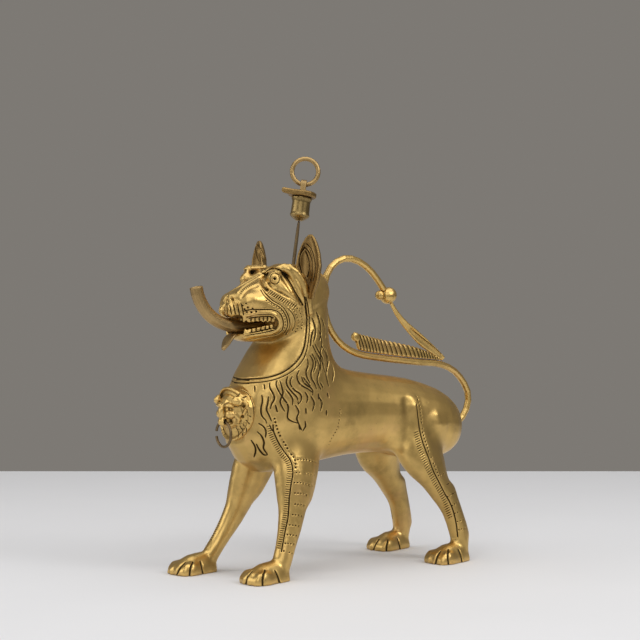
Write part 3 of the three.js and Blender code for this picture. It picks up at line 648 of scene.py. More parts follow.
collar = [(303.5, 297), (305.7, 308), (306.8, 321), (306.2, 333), (304.5, 346), (300.7, 356), (293, 365.2),
          (281.6, 372.9), (266.3, 377.5), (251, 378.6), (236, 379.4)]
collarEdge = [(306, 297), (308.2, 309), (309.4, 324), (308.7, 340), (306, 353), (301.5, 362.2), (293, 370.6),
              (281.6, 377.1), (266.3, 381.3), (247, 382.8), (234, 382.7)]
maneLocks = [
    [(307.6, 359), (308.3, 365), (306.4, 372), (307.6, 378), (310.2, 383)],
    [(310.2, 355.3), (312.9, 359.9), (313.3, 366), (311.4, 372.9), (311.8, 378.3), (314.8, 383.6),
     (316.7, 389)],
    [(312.2, 353.8), (315.6, 359.9), (316, 365.2), (313.7, 372.1)],
    [(312.9, 345.4), (316, 351.5), (319.8, 358.4), (321, 366), (321, 372.1)],
    [(315.2, 343.8), (319, 351.5), (322.9, 358.4), (323.6, 366), (325.2, 372.1)],
    [(299.2, 370.6), (297.2, 376), (298.8, 382), (302.6, 385.9), (308.3, 389), (312.2, 392)],
    [(301.8, 376.7), (303.4, 381.3), (306.8, 385.1), (310.6, 387.4), (312.9, 390.5), (312.9, 395.1)],
    [(303.7, 377.5), (307.6, 382.8), (310.6, 385.9)],
    [(292.3, 376.7), (290.4, 381.3), (291.5, 385.9), (295.3, 390.5), (300.7, 394.3), (301.5, 399.7),
     (298, 405)],
    [(287.7, 376.7), (286.5, 382.1), (288.4, 387.4), (293, 392.8), (297.2, 397.4), (298.4, 403.5)],
    [(286.1, 389.7), (290.7, 395.1), (293, 399.7), (292.7, 405)],
    [(277, 380.6), (276.2, 385.1), (279.3, 392), (283.9, 398.9), (287.7, 404.3), (288.4, 408.9),
     (287.7, 417.3), (291.5, 421.1), (298.4, 423.4)],
    [(269.7, 382.8), (269.7, 387.4), (273.1, 393.6), (274.3, 398.9), (271.6, 404.3), (270.5, 408.9)],
    [(261.7, 395.1), (262.4, 401.2), (260.9, 408.9), (261.7, 415.7), (265.5, 420.3), (266.6, 423.4)],
    [(254.4, 385.9), (254.8, 391.3)],
    [(264, 384.4), (264.7, 389)],
    [(268.6, 396.6), (267.8, 403.5), (266.6, 409.6), (269.3, 415.7), (271.6, 421.1)],
    [(258.6, 423.4), (263.2, 426.5), (265.9, 431), (265.5, 437.2)],
    [(257.1, 431.8), (261.7, 436.4), (264, 442.5), (263.6, 448.6), (267.4, 454.8)],
    [(256.3, 444.1), (259.4, 450.2), (264, 455.5), (267.4, 455.1)],
    [(251, 440.2), (254.8, 446.4), (255.5, 451.7), (254, 457.1)],
    [(305.3, 392), (308, 397.4), (306.8, 402.7)],
    [(306, 408.1), (306.4, 413.5)],
    [(320.6, 382.8), (323.3, 387.4)],
    [(318.7, 393.6), (319, 398.9)],
    [(327.5, 392.8), (328.6, 397.4)],
    [(326.7, 410.4), (326.7, 415)],
    [(305.3, 421.1), (305.7, 426.5), (303, 431)],
    [(299.2, 424.9), (300.3, 429.5)],
    [(312, 318), (315, 326), (315.5, 334), (314, 341)],
    [(316.5, 312), (320, 322), (321, 332), (319.5, 341)],
    [(313.5, 330), (311.5, 338), (310.8, 346)],
    [(321.5, 345), (326, 354), (327.5, 363), (327, 371)],
    [(322, 318), (325, 328), (325.5, 338)],
    [(319, 330), (322.2, 342.5), (320.6, 355), (323.8, 367.5)],
    [(316, 357), (320, 367.5), (317.5, 380), (321.2, 389.4)],
    [(325.3, 348.8), (328.5, 361.2), (326.4, 373.8), (328.8, 386.2)],
    [(280, 381), (283.1, 392.5), (280.4, 401.9), (284.7, 411.2)],
    [(295.6, 405), (299, 412), (297.2, 419), (301.9, 430)],
    [(318.4, 396), (322.2, 403), (320.6, 411)],
    [(311, 396), (314.5, 403), (312.6, 411)],
    [(331.5, 362), (333.8, 372), (332.4, 382)],
    [(269.5, 425), (272.5, 431)], [(275.5, 405), (277.5, 412)],
]
shoulderLine = [(273.1, 424.9), (273.9, 431.8), (277.7, 441), (283.1, 450.2), (289.4, 458.6), (292.3, 466.3),
                (292.8, 474.9), (291.3, 483.5), (289.4, 497.8), (288, 517), (285.1, 531.3), (282.7, 543.8),
                (281.3, 551.4)]
shoulderDots = [(274.7, 418.8), (277, 428), (280.4, 436.4), (285.8, 445.2), (290, 452.5), (295, 459.6),
                (296, 469.6)]
shoulderComb = [(269, 426.5), (271, 435), (275, 444), (281, 454), (287.2, 462), (289.6, 470), (288.6, 480),
                (287, 497), (285, 515), (281.6, 533), (278, 552)]
foreRows = [[(295.2, 459.6), (306, 459.6), (321, 463.9)], [(296.6, 472.5), (305, 473), (316.2, 475.6)],
            [(294.7, 482.5), (303, 483), (313.3, 486.4)], [(295.2, 493), (302, 493.6), (310, 496)],
            [(292.3, 504), (300, 504.6), (308.6, 506.5)], [(292.8, 514.6), (298, 515.2), (304, 516.8)],
            [(289.9, 525), (295, 525.4), (300.9, 526.6)], [(287.5, 534.7), (292, 535), (297.6, 535.8)],
            [(285.1, 543.3), (290, 543.6), (295.6, 544.3)], [(283.7, 551), (288, 551.8), (293.7, 553.8)]]
flankDots = [(340.5, 409.6), (340, 414), (339, 422.6), (337.4, 428.8), (331.3, 439.5), (327.5, 450)]
thighDots = [(416.8, 396.6), (419.6, 405), (420.9, 413), (422, 422), (423, 432), (424.7, 439), (427.4, 447),
             (430.6, 455), (434, 464), (437.8, 473), (439, 477)]
thighLine = [(416.8, 404), (418, 415.7), (420, 431), (423.4, 443.8), (428.3, 456.5), (433.4, 470.6),
             (439.7, 483.3), (444.8, 493.5), (450, 502.4), (453.8, 512.7), (456.3, 524), (457.6, 536.9)]
thighComb = [(416.1, 432.3), (419.3, 447), (424.4, 460.6), (429.5, 471.8), (435, 483), (441, 493), (446, 505),
             (451, 521)]
hindRows = [[(441, 475), (453.8, 468.6)], [(448, 496.7), (459.5, 488.4)], [(452.5, 505.6), (461.4, 499.3)],
            [(455, 513.3), (463.3, 510)], [(457.6, 521.6), (465.9, 519)], [(458.9, 529.9), (466.5, 527.3)]]
toeGrooves = [[(245.6, 587), (247, 578), (252, 571)], [(262.6, 588.5), (263, 578), (265, 569.5)],
              [(280.8, 588), (278.5, 578), (275, 570.5)], [(435.3, 565), (437, 557), (440.5, 551)],
              [(448.8, 566.5), (448, 557), (448.1, 549)], [(462.6, 565), (461, 556), (458.4, 549)],
              [(176.5, 575), (180, 568), (185.5, 562)], [(189.4, 577.5), (190.5, 569), (193, 561.5)],
              [(203.5, 576.5), (202, 568), (200.3, 561)], [(373.4, 551), (375, 545), (379, 539)],
              [(386.3, 553), (387, 546), (388, 539)], [(400.8, 552.5), (399.5, 545), (397.2, 538)]]
hindCuts = [[(446.8, 484.6), (455, 479.5)], [(452, 494.5), (459.5, 487.8)]]

faceLines = {
    "browLower": [(264.7, 274), (267.8, 270.1), (273.1, 268.6), (280, 270.1), (285.4, 275.5), (290.7, 283.9),
                  (295.3, 292.3), (299.9, 300), (303, 305.3)],
    "lashes": [(269.4, 291.8), (279, 297.9), (289, 303.6), (299.5, 307.8)],
    "muzzleRidge": [(240.5, 293), (243.5, 289.6), (250, 285.6), (256.6, 281.6), (262.4, 277.6)],
    "cheekInner": [(260.9, 290), (264.7, 296), (271.6, 302.3), (280, 307.6), (285.4, 314.5), (287.7, 321.4),
                   (287.3, 327.5), (283.9, 333.6)],
    "cheekOuter": [(262.6, 288.6), (266.4, 294.4), (273, 300.6), (281.6, 305.9), (287.4, 313.3),
                   (289.9, 321.4), (289.5, 328), (286, 334.8)],
    "cheekThird": [(287.7, 308.4), (292.3, 313), (295, 319), (295, 325.2), (292.3, 330.6)],
    "lipMiddle": [(247, 317.4), (255, 315.2), (264, 314.5), (271, 314.7), (275.6, 317.4), (277.9, 322),
                  (277.4, 327), (273.4, 330.2), (262, 332.8), (246, 335.8)],
    "lipOuter": [(244, 311.2), (251, 309.8), (261, 309.6), (271.8, 309.8), (279.4, 313), (283.2, 320.6),
                 (282.6, 329), (277.4, 334.2), (268, 336.4), (258, 338.2), (246, 340.6)],
}
cheekDots = [(246, 303.4), (247.9, 307.6), (244.5, 309.5), (246.8, 312.2), (251.3, 312.2), (256.3, 311.5),
             (252.6, 308.8), (242.4, 305.6)]
bandDots = [[(266.6, 300.6), (272, 304.4), (279.2, 308.9), (283.4, 314.8), (285.4, 321.4), (284.8, 327.6),
             (281.9, 332.6)],
            [(290.4, 308), (295.2, 312.4), (298.3, 319), (298.3, 326), (295.4, 332.4)],
            [(293, 304.8), (298.8, 309.6), (301.9, 317.4), (302, 325.6), (299.6, 333.4), (294.6, 340)]]
philtrum = [[(226.5, 305.3), (227.2, 313.8)], [(229.5, 305.3), (231.5, 314.5)], [(233.4, 304.6), (235.7,
                                                                                                  314.5)],
            [(237.2, 303.8), (239.5, 316)], [(241, 303.4), (243.6, 315)]]
eyeCentre = (274.7, 278.6)


def ringLine(centre, radius, count=28):
    angles = [2 * math.pi * i / count for i in range(count + 1)]
    return [(centre[0] + 0.86 * radius * math.cos(a), centre[1] + radius * math.sin(a)) for a in angles]


# Strings of balls that are melted into the head: places in the picture, radius and how deep the middles lie.
faceStrings = [
    {"line": [(274.5, 278.4), (280, 284), (288, 292.4), (298.5, 302.5)], "radii": (3.7, 2.9, 1.6, 0.5),
     "sunk": 0.45},
    {"line": [(265.8, 282.5), (268.5, 287.6), (274, 291.6), (282, 295.8), (291, 300.8), (300, 305.8)],
     "radii": (0.9, 0.85, 0.8, 0.8, 0.8, 0.7), "sunk": 0.25},
    {"line": [(279, 272), (284, 278), (289, 286.4), (294, 295.6), (299, 303.8)], "radii": (0.7, 0.7, 0.7,
                                                                                           0.7, 0.6),
     "sunk": 0.3},
    {"line": [(265.6, 272), (268.5, 267), (273.5, 264.8), (280, 264.8), (286.5, 269.5), (293, 277.5),
              (298.4, 286.9),
              (302, 296.9), (304, 304)], "radii": (0.9, 1.4, 1.8, 1.9, 1.9, 1.8, 1.6, 1.3, 0.9),
              "sunk": 0.35},
    {"line": [(290, 264.5), (296.5, 267.5), (302.4, 273), (305.2, 281.5), (306, 291)],
     "radii": (1.1, 1.6, 1.7, 1.5, 1),
     "sunk": 0.6},
    {"line": [(237.7, 292.9), (242.1, 287.3), (250.1, 282.4), (262.2, 275)], "radii": (1.2, 1.3, 1.3, 1.1),
     "sunk": 0.5},
    {"line": [(246, 315.8), (254, 313.6), (262, 312.6), (271, 312.8), (277, 316), (280, 321.4),
              (279.7, 327.5),
              (275.4, 331.4), (268, 333.2), (258, 335), (245.6, 337.8)], "radii": (0.95,) * 11, "sunk": 0.35},
    {"line": [(247.5, 319), (256, 316.8), (269, 316.4), (274, 319), (275.6, 323), (274.6, 327), (270, 329),
              (259, 331.4), (247, 334)], "radii": (0.8,) * 9, "sunk": 0.9},
]
softSpots = [(12.3, -67.2, 147.7), (9, -70.5, 150), (2, -77, 148), (12, -58, 156), (17, -47, 154),
             (19, -44, 150)]
hollows = [
    {"line": [(265.6, 271.6), (263.4, 277), (264.6, 282.5), (268.5, 287.5)], "radius": 3.0, "depth": 2.5},
    {"line": [(242.8, 296.3), (248.8, 288.6), (256.2, 286)], "radius": 1.7, "depth": 0.7},
    {"line": [(270, 270.4), (277, 270), (283, 275)], "radius": 1.6, "depth": 1.3},
    {"line": [(283, 275), (289, 284), (294, 293), (300, 302)], "radius": 1.3, "depth": 1.1},
    {"line": [(272, 288.6), (282, 293), (291, 298.6)], "radius": 1.2, "depth": 1.0},
    {"line": [(263, 287), (268, 297), (276, 303)], "radius": 2.0, "depth": 0.4},
]
upperTeeth = [(249, 320.6), (253, 319.9), (257.2, 319.4), (261.4, 319), (265.4, 318.8), (269.4, 318.8),
              (273, 320.2)]
lowerTeeth = [(249.4, 330.6), (253.8, 329.7), (258.4, 328.8), (263, 327.8), (267.4, 327), (271.4, 326)]
lipPlaces = [(10.6, -70.4, 138.1), (14.5, -64.8, 139.7), (18.2, -57, 138.1), (17.3, -54.6, 132),
             (14.2, -60, 129.2), (9.8, -66.5, 127.6)]


def mirrored(point):
    return Vector((-point[0], point[1], point[2]))


# Balls are gathered first and added to a mesh in one go.
class Balls:
    def __init__(self):
        bm = bmesh.new()
        bmesh.ops.create_icosphere(bm, subdivisions=2, radius=1)
        self.corners = np.array([vert.co for vert in bm.verts])
        self.faces = np.array([[vert.index for vert in face.verts] for face in bm.faces])
        bm.free()
        self.places = []

    def add(self, centre, radius, stretch=1.0):
        self.places.append((tuple(centre), radius, stretch))
        self.places.append((tuple(mirrored(centre)), radius, stretch))

    def intoMesh(self, bm):
        count = len(self.corners)
        corners = [self.corners * (r, r, r * stretch) + centre for centre, r, stretch in self.places]
        faces = [self.faces + count * i for i in range(len(self.places))]
        mesh = bpy.data.meshes.new("balls")
        mesh.from_pydata(np.concatenate(corners).tolist(), [], np.concatenate(faces).tolist())
        bm.from_mesh(mesh)
        bpy.data.meshes.remove(mesh)


evenRounds = 40   # rounds that take the bumps of the skin out of a string


def addString(balls, bvh, string):
    line = smoothLine(string["line"], 0.7)
    radii = np.interp(np.linspace(0, 1, len(line)), np.linspace(0, 1, len(string["radii"])), string["radii"])
    found = [(bvh.ray_cast(place, rayThrough(px, py))[:2], r) for (px, py), r in zip(line, radii)]
    middles = [np.array(hit - normal * r * string["sunk"] * mm) for (hit, normal),
               r in found if hit is not None]
    middles = np.array(middles)
    radii = [r for (hit, normal), r in found if hit is not None]
    for step in range(evenRounds):
        middles[1:-1] = 0.5 * middles[1:-1] + 0.25 * (middles[:-2] + middles[2:])
    for middle, r in zip(middles, radii):
        balls.add(middle, r * mm)


# The side of the mouth is close to a plane: its point and normal, by least squares over the lips.
def mouthPlane():
    places = np.array(lipPlaces) * mm
    middle = places.mean(0)
    normal = np.linalg.svd(places - middle)[2][2]
    return Vector(middle), Vector(normal if normal[0] > 0 else -normal)


def inMouth(px, py, sunk):
    middle, normal = mouthPlane()
    ray = rayThrough(px, py)
    start = middle - normal * sunk * mm
    return place + ray * ((start - place).dot(normal) / ray.dot(normal))


mouth = {"gumShifts": (-2.6, 3.0), "gumStep": 1.2, "gumSunk": 1.5, "gum": 1.0 * mm, "toothSunk": 1.0,
         "tooth": 1.05 * mm,
         "toothStretch": 1.15, "palate": (2.5, -75, 141.2), "palateStep": 2, "palateCount": 10,
         "palateBall": 4.2 * mm}


def addMouth(balls):
    for row, shift in zip((upperTeeth, lowerTeeth), mouth["gumShifts"]):
        for px, py in smoothLine([(x, y + shift) for x, y in row], mouth["gumStep"]):
            balls.add(inMouth(px, py, mouth["gumSunk"]), mouth["gum"])
        for px, py in row:
            balls.add(inMouth(px, py, mouth["toothSunk"]), mouth["tooth"], mouth["toothStretch"])
    x, y, z = mouth["palate"]
    for step in range(mouth["palateCount"]):
        balls.add(Vector((x, y + mouth["palateStep"] * step, z)) * mm, mouth["palateBall"])


# Pushed out of the skin, or into it, before the lines are chased: line, radius and height in millimetres.
faceForms = [
    ([(254, 299), (255.4, 299.8)], 7.0, 1.8),
    (faceLines["cheekThird"], 1.2, 0.25),
    ([(276, 296.5), (284, 301.5), (292, 308), (291, 322), (287, 334)], 1.3, 0.3),
    ([(231.6, 298.6), (232, 300)], 1.4, -1.5), ([(227.4, 295.6), (227.1, 301)], 0.9, -0.7),
]
# Widths and depths are in millimetres; gaps, lengths and the eye's radius are in pixels of the picture.
faceStrokes = {
    "browLower": {"width": 0.5, "depth": 0.5}, "cheekInner": {"width": 0.42, "depth": 0.4},
    "cheekOuter": {"width": 0.4, "depth": 0.36}, "cheekThird": {"width": 0.4, "depth": 0.36},
    "lipOuter": {"width": 0.45, "depth": 0.45}, "lipMiddle": {"width": 0.4, "depth": 0.45},
}
faceTools = {
    "eyeRadius": 5.6, "eyeRing": {"width": 0.34, "depth": 0.34}, "pupil": {"gap": 4, "width": 1.05,
                                                                           "depth": 1.2},
    "lashes": {"gap": 2.3, "length": 4.2, "angle": 104, "width": 0.46, "depth": 0.45},
    "muzzleRidge": {"gap": 1.9, "length": 2.6, "angle": 80, "width": 0.28, "depth": 0.25},
    "bandDots": {"gap": 3.0, "width": 0.52, "depth": 0.4}, "cheekDots": {"gap": 5, "width": 0.78,
                                                                         "depth": 0.65},
    "philtrum": {"width": 0.5, "depth": 0.5, "taper": True},
    "toothGap": {"width": 0.42, "depth": 0.7}, "gumLine": {"width": 0.4, "depth": 0.5},
}
bodyTools = {
    "collar": {"width": 0.6, "depth": 0.5}, "collarEdge": {"width": 0.42, "depth": 0.36},
    "maneLocks": {"width": 0.68, "depth": 0.55, "taper": True}, "flankDots": {"gap": 3.4, "width": 0.52,
                                                                              "depth": 0.42},
    "shoulderLine": {"width": 0.55, "depth": 0.5}, "shoulderDots": {"gap": 3.6, "width": 0.85, "depth": 0.65},
    "shoulderComb": {"gap": 2.2, "length": 4.2, "angle": 88, "width": 0.36, "depth": 0.32},
    "foreRows": {"gap": 3.0, "width": 0.66, "depth": 0.5}, "thighLine": {"width": 0.52, "depth": 0.46},
    "thighDots": {"gap": 3.3, "width": 0.64, "depth": 0.5},
    "thighComb": {"gap": 2.3, "length": 4.6, "angle": 78, "width": 0.36, "depth": 0.32},
    "hindRows": {"gap": 3.0, "width": 0.58, "depth": 0.44}, "hindCuts": {"width": 0.42, "depth": 0.4,
                                                                         "taper": True},
    "toeGrooves": {"width": 0.85, "depth": 0.6, "taper": True, "shift": "single"},
}


# One punch mark: a run of dots that ends after the first.
def punch(marks, centre, tool):
    marks.dots([centre, (centre[0] + 0.3, centre[1])], **tool)


def faceMarks(bvh):
    marks = ToolMarks(bvh)
    for name, stroke in faceStrokes.items():
        marks.line(faceLines[name], **stroke)
    marks.line(ringLine(eyeCentre, faceTools["eyeRadius"]), **faceTools["eyeRing"])
    punch(marks, eyeCentre, faceTools["pupil"])
    for name in ("lashes", "muzzleRidge"):
        marks.hatch(faceLines[name], **faceTools[name])
    for strip in bandDots:
        marks.dots(strip, **faceTools["bandDots"])
    for dot in cheekDots:
        punch(marks, dot, faceTools["cheekDots"])
    for strip in philtrum:
        marks.line(strip, **faceTools["philtrum"])
    for row, low, high in ((upperTeeth, -2.0, 2.0), (lowerTeeth, -2.0, 2.2)):
        for (x, y), (nextX, nextY) in zip(row, row[1:]):
            middle, level = (x + nextX) / 2, (y + nextY) / 2
            marks.line([(middle, level + low), (middle, level + high)], **faceTools["toothGap"])
    for row, shift in ((upperTeeth, -2.2), (lowerTeeth, 2.4)):
        marks.line([(x, y + shift) for x, y in row], **faceTools["gumLine"])
    return marks.spots


def maneMarks(bvh):
    marks = ToolMarks(bvh)
    marks.line(collar, **bodyTools["collar"])
    marks.line(collarEdge, **bodyTools["collarEdge"])
    for lock in maneLocks:
        marks.line(lock, **bodyTools["maneLocks"])
    marks.dots(flankDots, **bodyTools["flankDots"])
    return marks.spots


def legMarks(bvh, shifts):
    marks = ToolMarks(bvh)
    fore, hind = shifts
    marks.line(shoulderLine, **bodyTools["shoulderLine"], shift=fore)
    marks.dots(shoulderDots, **bodyTools["shoulderDots"], shift=fore)
    marks.hatch(shoulderComb, **bodyTools["shoulderComb"], shift=fore)
    for row in foreRows:
        marks.dots(row, **bodyTools["foreRows"], shift=fore)
    marks.line(thighLine, **bodyTools["thighLine"], shift=hind)
    marks.dots(thighDots, **bodyTools["thighDots"], shift=hind)
    marks.hatch(thighComb, **bodyTools["thighComb"], shift=hind)
    for row in hindRows:
        marks.dots(row, **bodyTools["hindRows"], shift=hind)
    for cut in hindCuts:
        marks.line(cut, **bodyTools["hindCuts"], shift=hind)
    for groove in toeGrooves:
        marks.line(groove, **bodyTools["toeGrooves"])
    return marks.spots


trunkNodes = ["body_shell", "head_shell", "front_left_leg", "front_right_leg", "rear_left_leg",
              "rear_right_leg"]
trunk = {"voxel": 1.05, "rounds": 26, "legCut": 50 * mm}
trunkCut = {"reach": 0.55 * mm, "edgeLength": 0.32 * mm, "passes": 2}
head = {"voxel": 0.6, "fine": 0.5, "rounds": 16,
        "fineRounds": 3,
        "seamPoint": (0, -0.0337, 0.1355), "seamTilt": 32.2, "overlap": 8 * mm, "seamRounds": 8,
        "softRounds": 24, "softInner": 4 * mm, "softOuter": 9 * mm, "paintedshade": 5 * mm}
headCut = {"reach": 0.6 * mm, "edgeLength": 0.22 * mm, "passes": 1}
# Heights in millimetres, each pair from no effect to the full one.
legBlend = {"highest": 108, "reach": 8, "core": 2.5, "jointLow": (56, 66), "jointHigh": (106, 96),
            "jointRounds": 45,
            "shankLow": (16, 20), "shankHigh": (74, 64), "shankRounds": 50, "paw": (15, 12), "pawShare": 0.7,
            "pawRounds": 3}


# The far legs stride further: below the hip their marks move with the foot.
def footShift(near, far):
    hipHeight = 0.07
    return hipHeight, boxOf(far)[0][1] - boxOf(near)[0][1]


def boxOf(name):
    points = readPoints(nodes[name].data)
    return points.min(0), points.max(0)


def seamNormal():
    tilt = math.radians(head["seamTilt"])
    return Vector((0, -math.sin(tilt), math.cos(tilt)))


# The passage below the neck seam, where the seated stopper's rod ends.
rodWell = {"middle": Vector((0, -0.03778, 0.13293)), "along": Vector((0, 0.15643, 0.98769)), "radius": 4 * mm,
           "depth": 17 * mm, "sides": 32}


# Keeps the side of a closed skin that the normal points to, and caps the cut, with a well in it if one is
# given. The well's triangles can be joined differently from run to run; its points and volume don't change.
def cutAway(bm, point, normal, well=None):
    geom = bm.verts[:] + bm.edges[:] + bm.faces[:]
    bmesh.ops.bisect_plane(bm, geom=geom, dist=1e-7, plane_co=point, plane_no=normal, clear_inner=True)
    rim = [edge for edge in bm.edges if edge.is_boundary]
    ring = []
    if well:
        place = Matrix.Translation(well["middle"]) @ normal.to_track_quat("Z", "Y").to_matrix().to_4x4()
        circle = bmesh.ops.create_circle(bm, cap_ends=False, segments=well["sides"], radius=well["radius"],
                                         matrix=place)
        ring = list({edge for vert in circle["verts"] for edge in vert.link_edges})
    filled = bmesh.ops.triangle_fill(bm, edges=rim + ring, use_beauty=False, use_dissolve=False,
                                     normal=-normal)
    wrong = [item for item in filled["geom"] if isinstance(item, bmesh.types.BMFace)
             and any(len(edge.link_faces) > 2 for edge in item.edges)]
    if wrong:
        bmesh.ops.delete(bm, geom=wrong, context="FACES")
        bmesh.ops.holes_fill(bm, edges=[edge for edge in bm.edges if edge.is_boundary and edge not in ring],
                             sides=0)
        bmesh.ops.recalc_face_normals(bm, faces=bm.faces)
    if well:
        pulled = bmesh.ops.extrude_edge_only(bm, edges=ring)["geom"]
        verts = [item for item in pulled if isinstance(item, bmesh.types.BMVert)]
        bmesh.ops.translate(bm, verts=verts, vec=well["along"] * -well["depth"])
        bmesh.ops.holes_fill(bm, edges=[edge for edge in bm.edges if edge.is_boundary], sides=0)
        bmesh.ops.recalc_face_normals(bm, faces=bm.faces)


# Cuts a closed skin in two along a plane. Points keep the normals that they had on the whole skin.
def cutPiece(mesh, point, normal, name, well=None):
    bm = bmesh.new()
    bm.from_mesh(mesh)
    cutAway(bm, point, normal, well)
    piece = bpy.data.meshes.new(name)
    bm.to_mesh(piece)
    bm.free()
    return piece


def keepNormals(mesh):
    layer = mesh.attributes.new("kept", "FLOAT_VECTOR", "POINT")
    layer.data.foreach_set("vector", readNormals(mesh).astype(np.float32).ravel())


def restoreNormals(mesh):
    kept = np.empty(len(mesh.vertices) * 3, dtype=np.float32)
    mesh.attributes["kept"].data.foreach_get("vector", kept)
    mesh.attributes.remove(mesh.attributes["kept"])
    mesh.normals_split_custom_set_from_vertices(kept.reshape(-1, 3).tolist())


def trunkPiece(name, mesh, finish, replaced):
    mesh.shade_smooth()
    piece = addPiece(name, mesh, finish, replaced)
    restoreNormals(mesh)
    print(name, len(mesh.polygons))
    return piece


def treeOfNodes(names):
    bm = mergedCopy(names)
    bvh = BVHTree.FromBMesh(bm)
    bm.free()
    return bvh


def nearSeam(points, outer=4 * mm, inner=1.5 * mm):
    gaps = np.abs((points - np.array(seamPoint)) @ np.array(seamUp))
    return fade(gaps, outer, inner)[:, None]


# Blends the legs into the body, and takes the flats off the shanks.
def smoothTrunk(mesh):
    points = readPoints(mesh)
    height = points[:, 2] / mm
    bvh = treeOfNodes(trunkNodes[2:])
    legs = np.zeros(len(points))
    for i in np.where(height < legBlend["highest"])[0]:
        found = bvh.find_nearest(points[i], legBlend["reach"] * mm)
        if found[0] is not None:
            legs[i] = 1 - max(0.0, found[3] / mm - legBlend["core"]) / (legBlend["reach"] - legBlend["core"])
    joint = legs * fade(height, *legBlend["jointLow"]) * fade(height, *legBlend["jointHigh"])
    relax(mesh, legBlend["jointRounds"], joint[:, None], push=0.5)
    shank = legs * fade(height, *legBlend["shankLow"]) * fade(height, *legBlend["shankHigh"])
    relax(mesh, legBlend["shankRounds"], shank[:, None])
    paw = legBlend["pawShare"] * fade(height, *legBlend["paw"])
    relax(mesh, legBlend["pawRounds"], paw[:, None], push=0.5)
    relax(mesh, head["seamRounds"], nearSeam(points), push=0.5)


# The hollow below the neck can't be seen: only the outer skin is kept, up to a little above the seam.
def outerSkin(mesh):
    bm = bmesh.new()
    bm.from_mesh(mesh)
    geom = bm.verts[:] + bm.edges[:] + bm.faces[:]
    bmesh.ops.bisect_plane(bm, geom=geom, dist=1e-7, plane_co=seamPoint + seamUp * head["overlap"],
                           plane_no=-seamUp,
                           clear_inner=True)
    lowest = min(bm.verts, key=lambda vert: vert.co.z)
    kept, edge = {lowest}, [lowest]
    while edge:
        vert = edge.pop()
        for link in vert.link_edges:
            other = link.other_vert(vert)
            if other not in kept:
                kept.add(other)
                edge.append(other)
    bmesh.ops.delete(bm, geom=[vert for vert in bm.verts if vert not in kept], context="VERTS")
    bm.to_mesh(mesh)
    bm.free()


seamPoint, seamUp = Vector(head["seamPoint"]), seamNormal()
skin = voxelSkin(mergedCopy(trunkNodes), trunk["voxel"] * mm)
outerSkin(skin)
relax(skin, trunk["rounds"])
smoothTrunk(skin)
haunch = [([(408, 404), (408.6, 414), (408, 426), (405, 438), (398, 446)], 5.6, -0.9),
          ([(413, 402), (417, 416), (422, 432), (428, 446)], 6.5, 0.7)]
for line, radius, height in haunch:
    pressLine(skin, bvhOf(skin), line, radius, height)
writeCavity(skin)
print("trunk skin", len(skin.vertices))
skinTree = bvhOf(skin)
wholeTree = treeOfNodes(trunkNodes)   # head and body alike, so that the neck's lines run on over the seam
shifts = footShift("front_left_leg", "front_right_leg"), footShift("rear_left_leg", "rear_right_leg")
bodySpots = maneMarks(wholeTree) + legMarks(skinTree, shifts)
engrave(skin, bodySpots, **trunkCut)
keepNormals(skin)
print("trunk engraved", len(skin.polygons))

legTop = Vector((0, 0, trunk["legCut"]))
up, origin = Vector((0, 0, 1)), Vector((0, 0, 0))
neckCut = cutPiece(skin, seamPoint, -seamUp, "body", rodWell)
bodyMesh = cutPiece(neckCut, legTop, up, "body")
trunkPiece("lionBody", bodyMesh, "castBrass", ["body_shell"])
legsMesh = cutPiece(skin, legTop, -up, "legs")
for side, sideNormal in (("left", Vector((1, 0, 0))), ("right", Vector((-1, 0, 0)))):
    for end, endNormal in (("front", Vector((0, -1, 0))), ("rear", Vector((0, 1, 0)))):
        half = cutPiece(legsMesh, origin, sideNormal, "leg")
        quarter = cutPiece(half, origin, endNormal, "leg")
        trunkPiece(end + side.capitalize() + "Leg", quarter, "castBrass", [end + "_" + side + "_leg"])


# Near the seam the head takes the trunk's exact shape, so that the two meet without a step.
def meetTrunk(mesh):
    points = readPoints(mesh)
    shares = nearSeam(points, 6 * mm, 2 * mm)[:, 0]
    for i in np.where(shares > 0)[0]:
        found = skinTree.find_nearest(points[i], 1.6 * mm)[0]
        if found is not None:
            points[i] += shares[i] * (np.array(found) - points[i])
    writePoints(mesh, points)


def headSkin():
    bm = mergedCopy(["body_shell", "head_shell"])
    cutAway(bm, seamPoint - seamUp * head["overlap"], seamUp)
    mesh = voxelSkin(bm, head["voxel"] * mm)
    relax(mesh, head["rounds"])
    points = readPoints(mesh)
    relax(mesh, head["seamRounds"], nearSeam(points), push=0.5)
    places = [Vector(spot) * mm for spot in softSpots]
    places += [mirrored(spot) for spot in places]
    soft = nearPlaces(points, places, head["softInner"], head["softOuter"])
    relax(mesh, head["softRounds"], soft, push=0.5)
    meetTrunk(mesh)
    bvh = bvhOf(mesh)
    for hollow in hollows:
        pressLine(mesh, bvh, hollow["line"], hollow["radius"], -hollow["depth"])
    bm = bmesh.new()
    bm.from_mesh(mesh)
    balls = Balls()
    for string in faceStrings:
        addString(balls, bvh, string)
    addMouth(balls)
    balls.intoMesh(bm)
    mesh = voxelSkin(bm, head["fine"] * mm)
    relax(mesh, head["fineRounds"])
    meetTrunk(mesh)
    return mesh


headMesh = headSkin()
print("head skin", len(headMesh.vertices))
headTree = bvhOf(headMesh)
for line, radius, height in faceForms:
    pressLine(headMesh, headTree, line, radius, height)
relax(headMesh, 2)
writeCavity(headMesh)
engrave(headMesh, faceMarks(bvhOf(headMesh)) + maneMarks(wholeTree), **headCut)
keepNormals(headMesh)
headPiece = cutPiece(headMesh, seamPoint, seamUp, "head")
# Painted shade on the head: corners and recesses that see little sky are darkened.
writePaintedShade(headPiece, head["paintedshade"])
trunkPiece("lionHead", headPiece, "castBrass", ["head_shell"])


